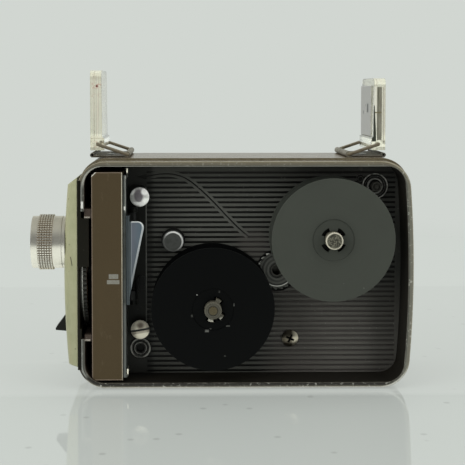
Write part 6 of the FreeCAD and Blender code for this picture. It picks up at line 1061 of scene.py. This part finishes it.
def table_finish():
    """A pale glossy table that glows like the surround, most of all where it runs out into it, and more from
    under the object's front backwards as painted light that fills its shadow.
    """
    g = Finish("table_pale", IOR=1.8)
    x, y, _ = g.xyz
    colour = g.vary(TABLE_TONE, g.noise(120, 3), 0.985, 1.015)
    colour = g.vary(colour, g.fade(y, *TABLE_STEP_Y), 1.0, 1.16)
    colour = g.mix(g.specks(9.0, 0.16, 0.5), colour, (120, 122, 118))
    hairs = g.fade(g.noise(26, 5, 0.7, stretch=(0.12, 0.6, 1), shift=6), 0.6, 0.72)
    colour = g.mix(g.times(hairs, 0.1), colour, (236, 240, 236))
    g.surface(colour, g.range(g.noise(30, 3, shift=2), 0.02, 0.06), hairs, 0.02)
    path = g.node("LightPath").outputs
    glossy = path["Is Glossy Ray"]
    beyond = g.fade(g.length(x, y), *TABLE_RUN_OUT)
    # painted light: more glow from under the object's front backwards, filling in its shadow
    painted_light_under_object = g.times(g.fade(y, *UNDER_FRONT_Y), 0.55)
    share = g.most(beyond, painted_light_under_object, TABLE_GLOW, g.times(glossy, 0.9))
    lit = g.range(g.fade(y, *MIRRORED_FRONT_Y), FRONT_DARK, 1.5)
    strength = g.total(g.times(glossy, g.minus(lit, 1.0)), 1.0)
    glow = g.node("Emission", {"Color": BACKGROUND, "Strength": strength}).outputs[0]
    seen = g.most(path["Is Camera Ray"], glossy, path["Is Transmission Ray"])
    both = g.node("MixShader", {0: g.times(share, seen), 1: g.shader.outputs[0], 2: glow})
    g.put(g.output.inputs[0], both.outputs[0])
    return g


def make_table():
    """The table that the object stands on."""
    table = bpy.data.objects.new("table", make_table_mesh())
    bpy.context.scene.collection.objects.link(table)
    table.data.materials.append(table_finish().material)


def make_world():
    """A pale surround, darker above and dark in front in reflections, as a room is behind a camera."""
    world = bpy.data.worlds.new("surround")
    world.use_nodes = True
    bpy.context.scene.world = world
    g = Graph(world.node_tree)
    direction = g.node("TexCoord").outputs["Generated"]
    _, y, z = g.node("SeparateXYZ", {0: direction}).outputs
    pale = srgb(BACKGROUND)
    above, front = (tuple(part * share for part in pale[:3]) + (1.0,) for share in (ABOVE_DARK, FRONT_DARK))
    mirrored = g.mix(g.fade(z, 0.2, 0.8), pale, above)
    mirrored = g.mix(g.fade(y, -0.45, -0.9), mirrored, front)
    path = g.node("LightPath").outputs
    light = (ROOM_LIGHT, ROOM_LIGHT, ROOM_LIGHT * 0.985, 1.0)
    colour = g.mix(path["Is Glossy Ray"], light, mirrored)
    colour = g.mix(g.most(path["Is Camera Ray"], path["Is Transmission Ray"]), colour, pale)
    background = g.node("Background", {"Color": colour, "Strength": 1.0})
    g.node("OutputWorld", {0: background.outputs[0]})


def make_lamp(name, place, width, height, power):
    """A soft box in metres and watts that points at the object and is unseen in reflections."""
    data = bpy.data.lights.new(name, "AREA")
    data.shape = "RECTANGLE"
    data.size = width
    data.size_y = height
    data.energy = power
    lamp = bpy.data.objects.new(name, data)
    lamp.location = place
    lamp.visible_glossy = False
    lamp.rotation_euler = (Vector(LAMP_TARGET) - Vector(place)).to_track_quat("-Z", "Y").to_euler()
    bpy.context.scene.collection.objects.link(lamp)


def make_lights():
    """Two large soft boxes at the sides and a weak one above."""
    make_lamp("left_box", (-1.15, -0.95, 0.75), 0.9, 0.9, 11.0)
    make_lamp("right_box", (1.25, -0.85, 0.75), 0.9, 0.9, 8.0)
    make_lamp("top_box", (0.0, 0.1, 1.6), 1.2, 0.9, 6.0)


def make_camera():
    """The camera, whose frame is shifted to where the object stands in it."""
    data = bpy.data.cameras.new("camera")
    data.sensor_width = SENSOR
    data.lens = FOCAL_PIXELS * SENSOR / FRAME_PIXELS
    data.shift_x, data.shift_y = SHIFT
    data.clip_start = 0.01
    data.clip_end = 50.0
    camera = bpy.data.objects.new("camera", data)
    camera.location = CAMERA_PLACE
    camera.rotation_euler = (math.radians(90 - CAMERA_PITCH), 0.0, math.radians(-CAMERA_YAW))
    bpy.context.scene.collection.objects.link(camera)
    bpy.context.scene.camera = camera


paint_case()
paint_gate()
paint_finder()
paint_works()
make_table()
make_world()
make_lights()
make_camera()
bpy.context.scene.view_settings.view_transform = "Standard"
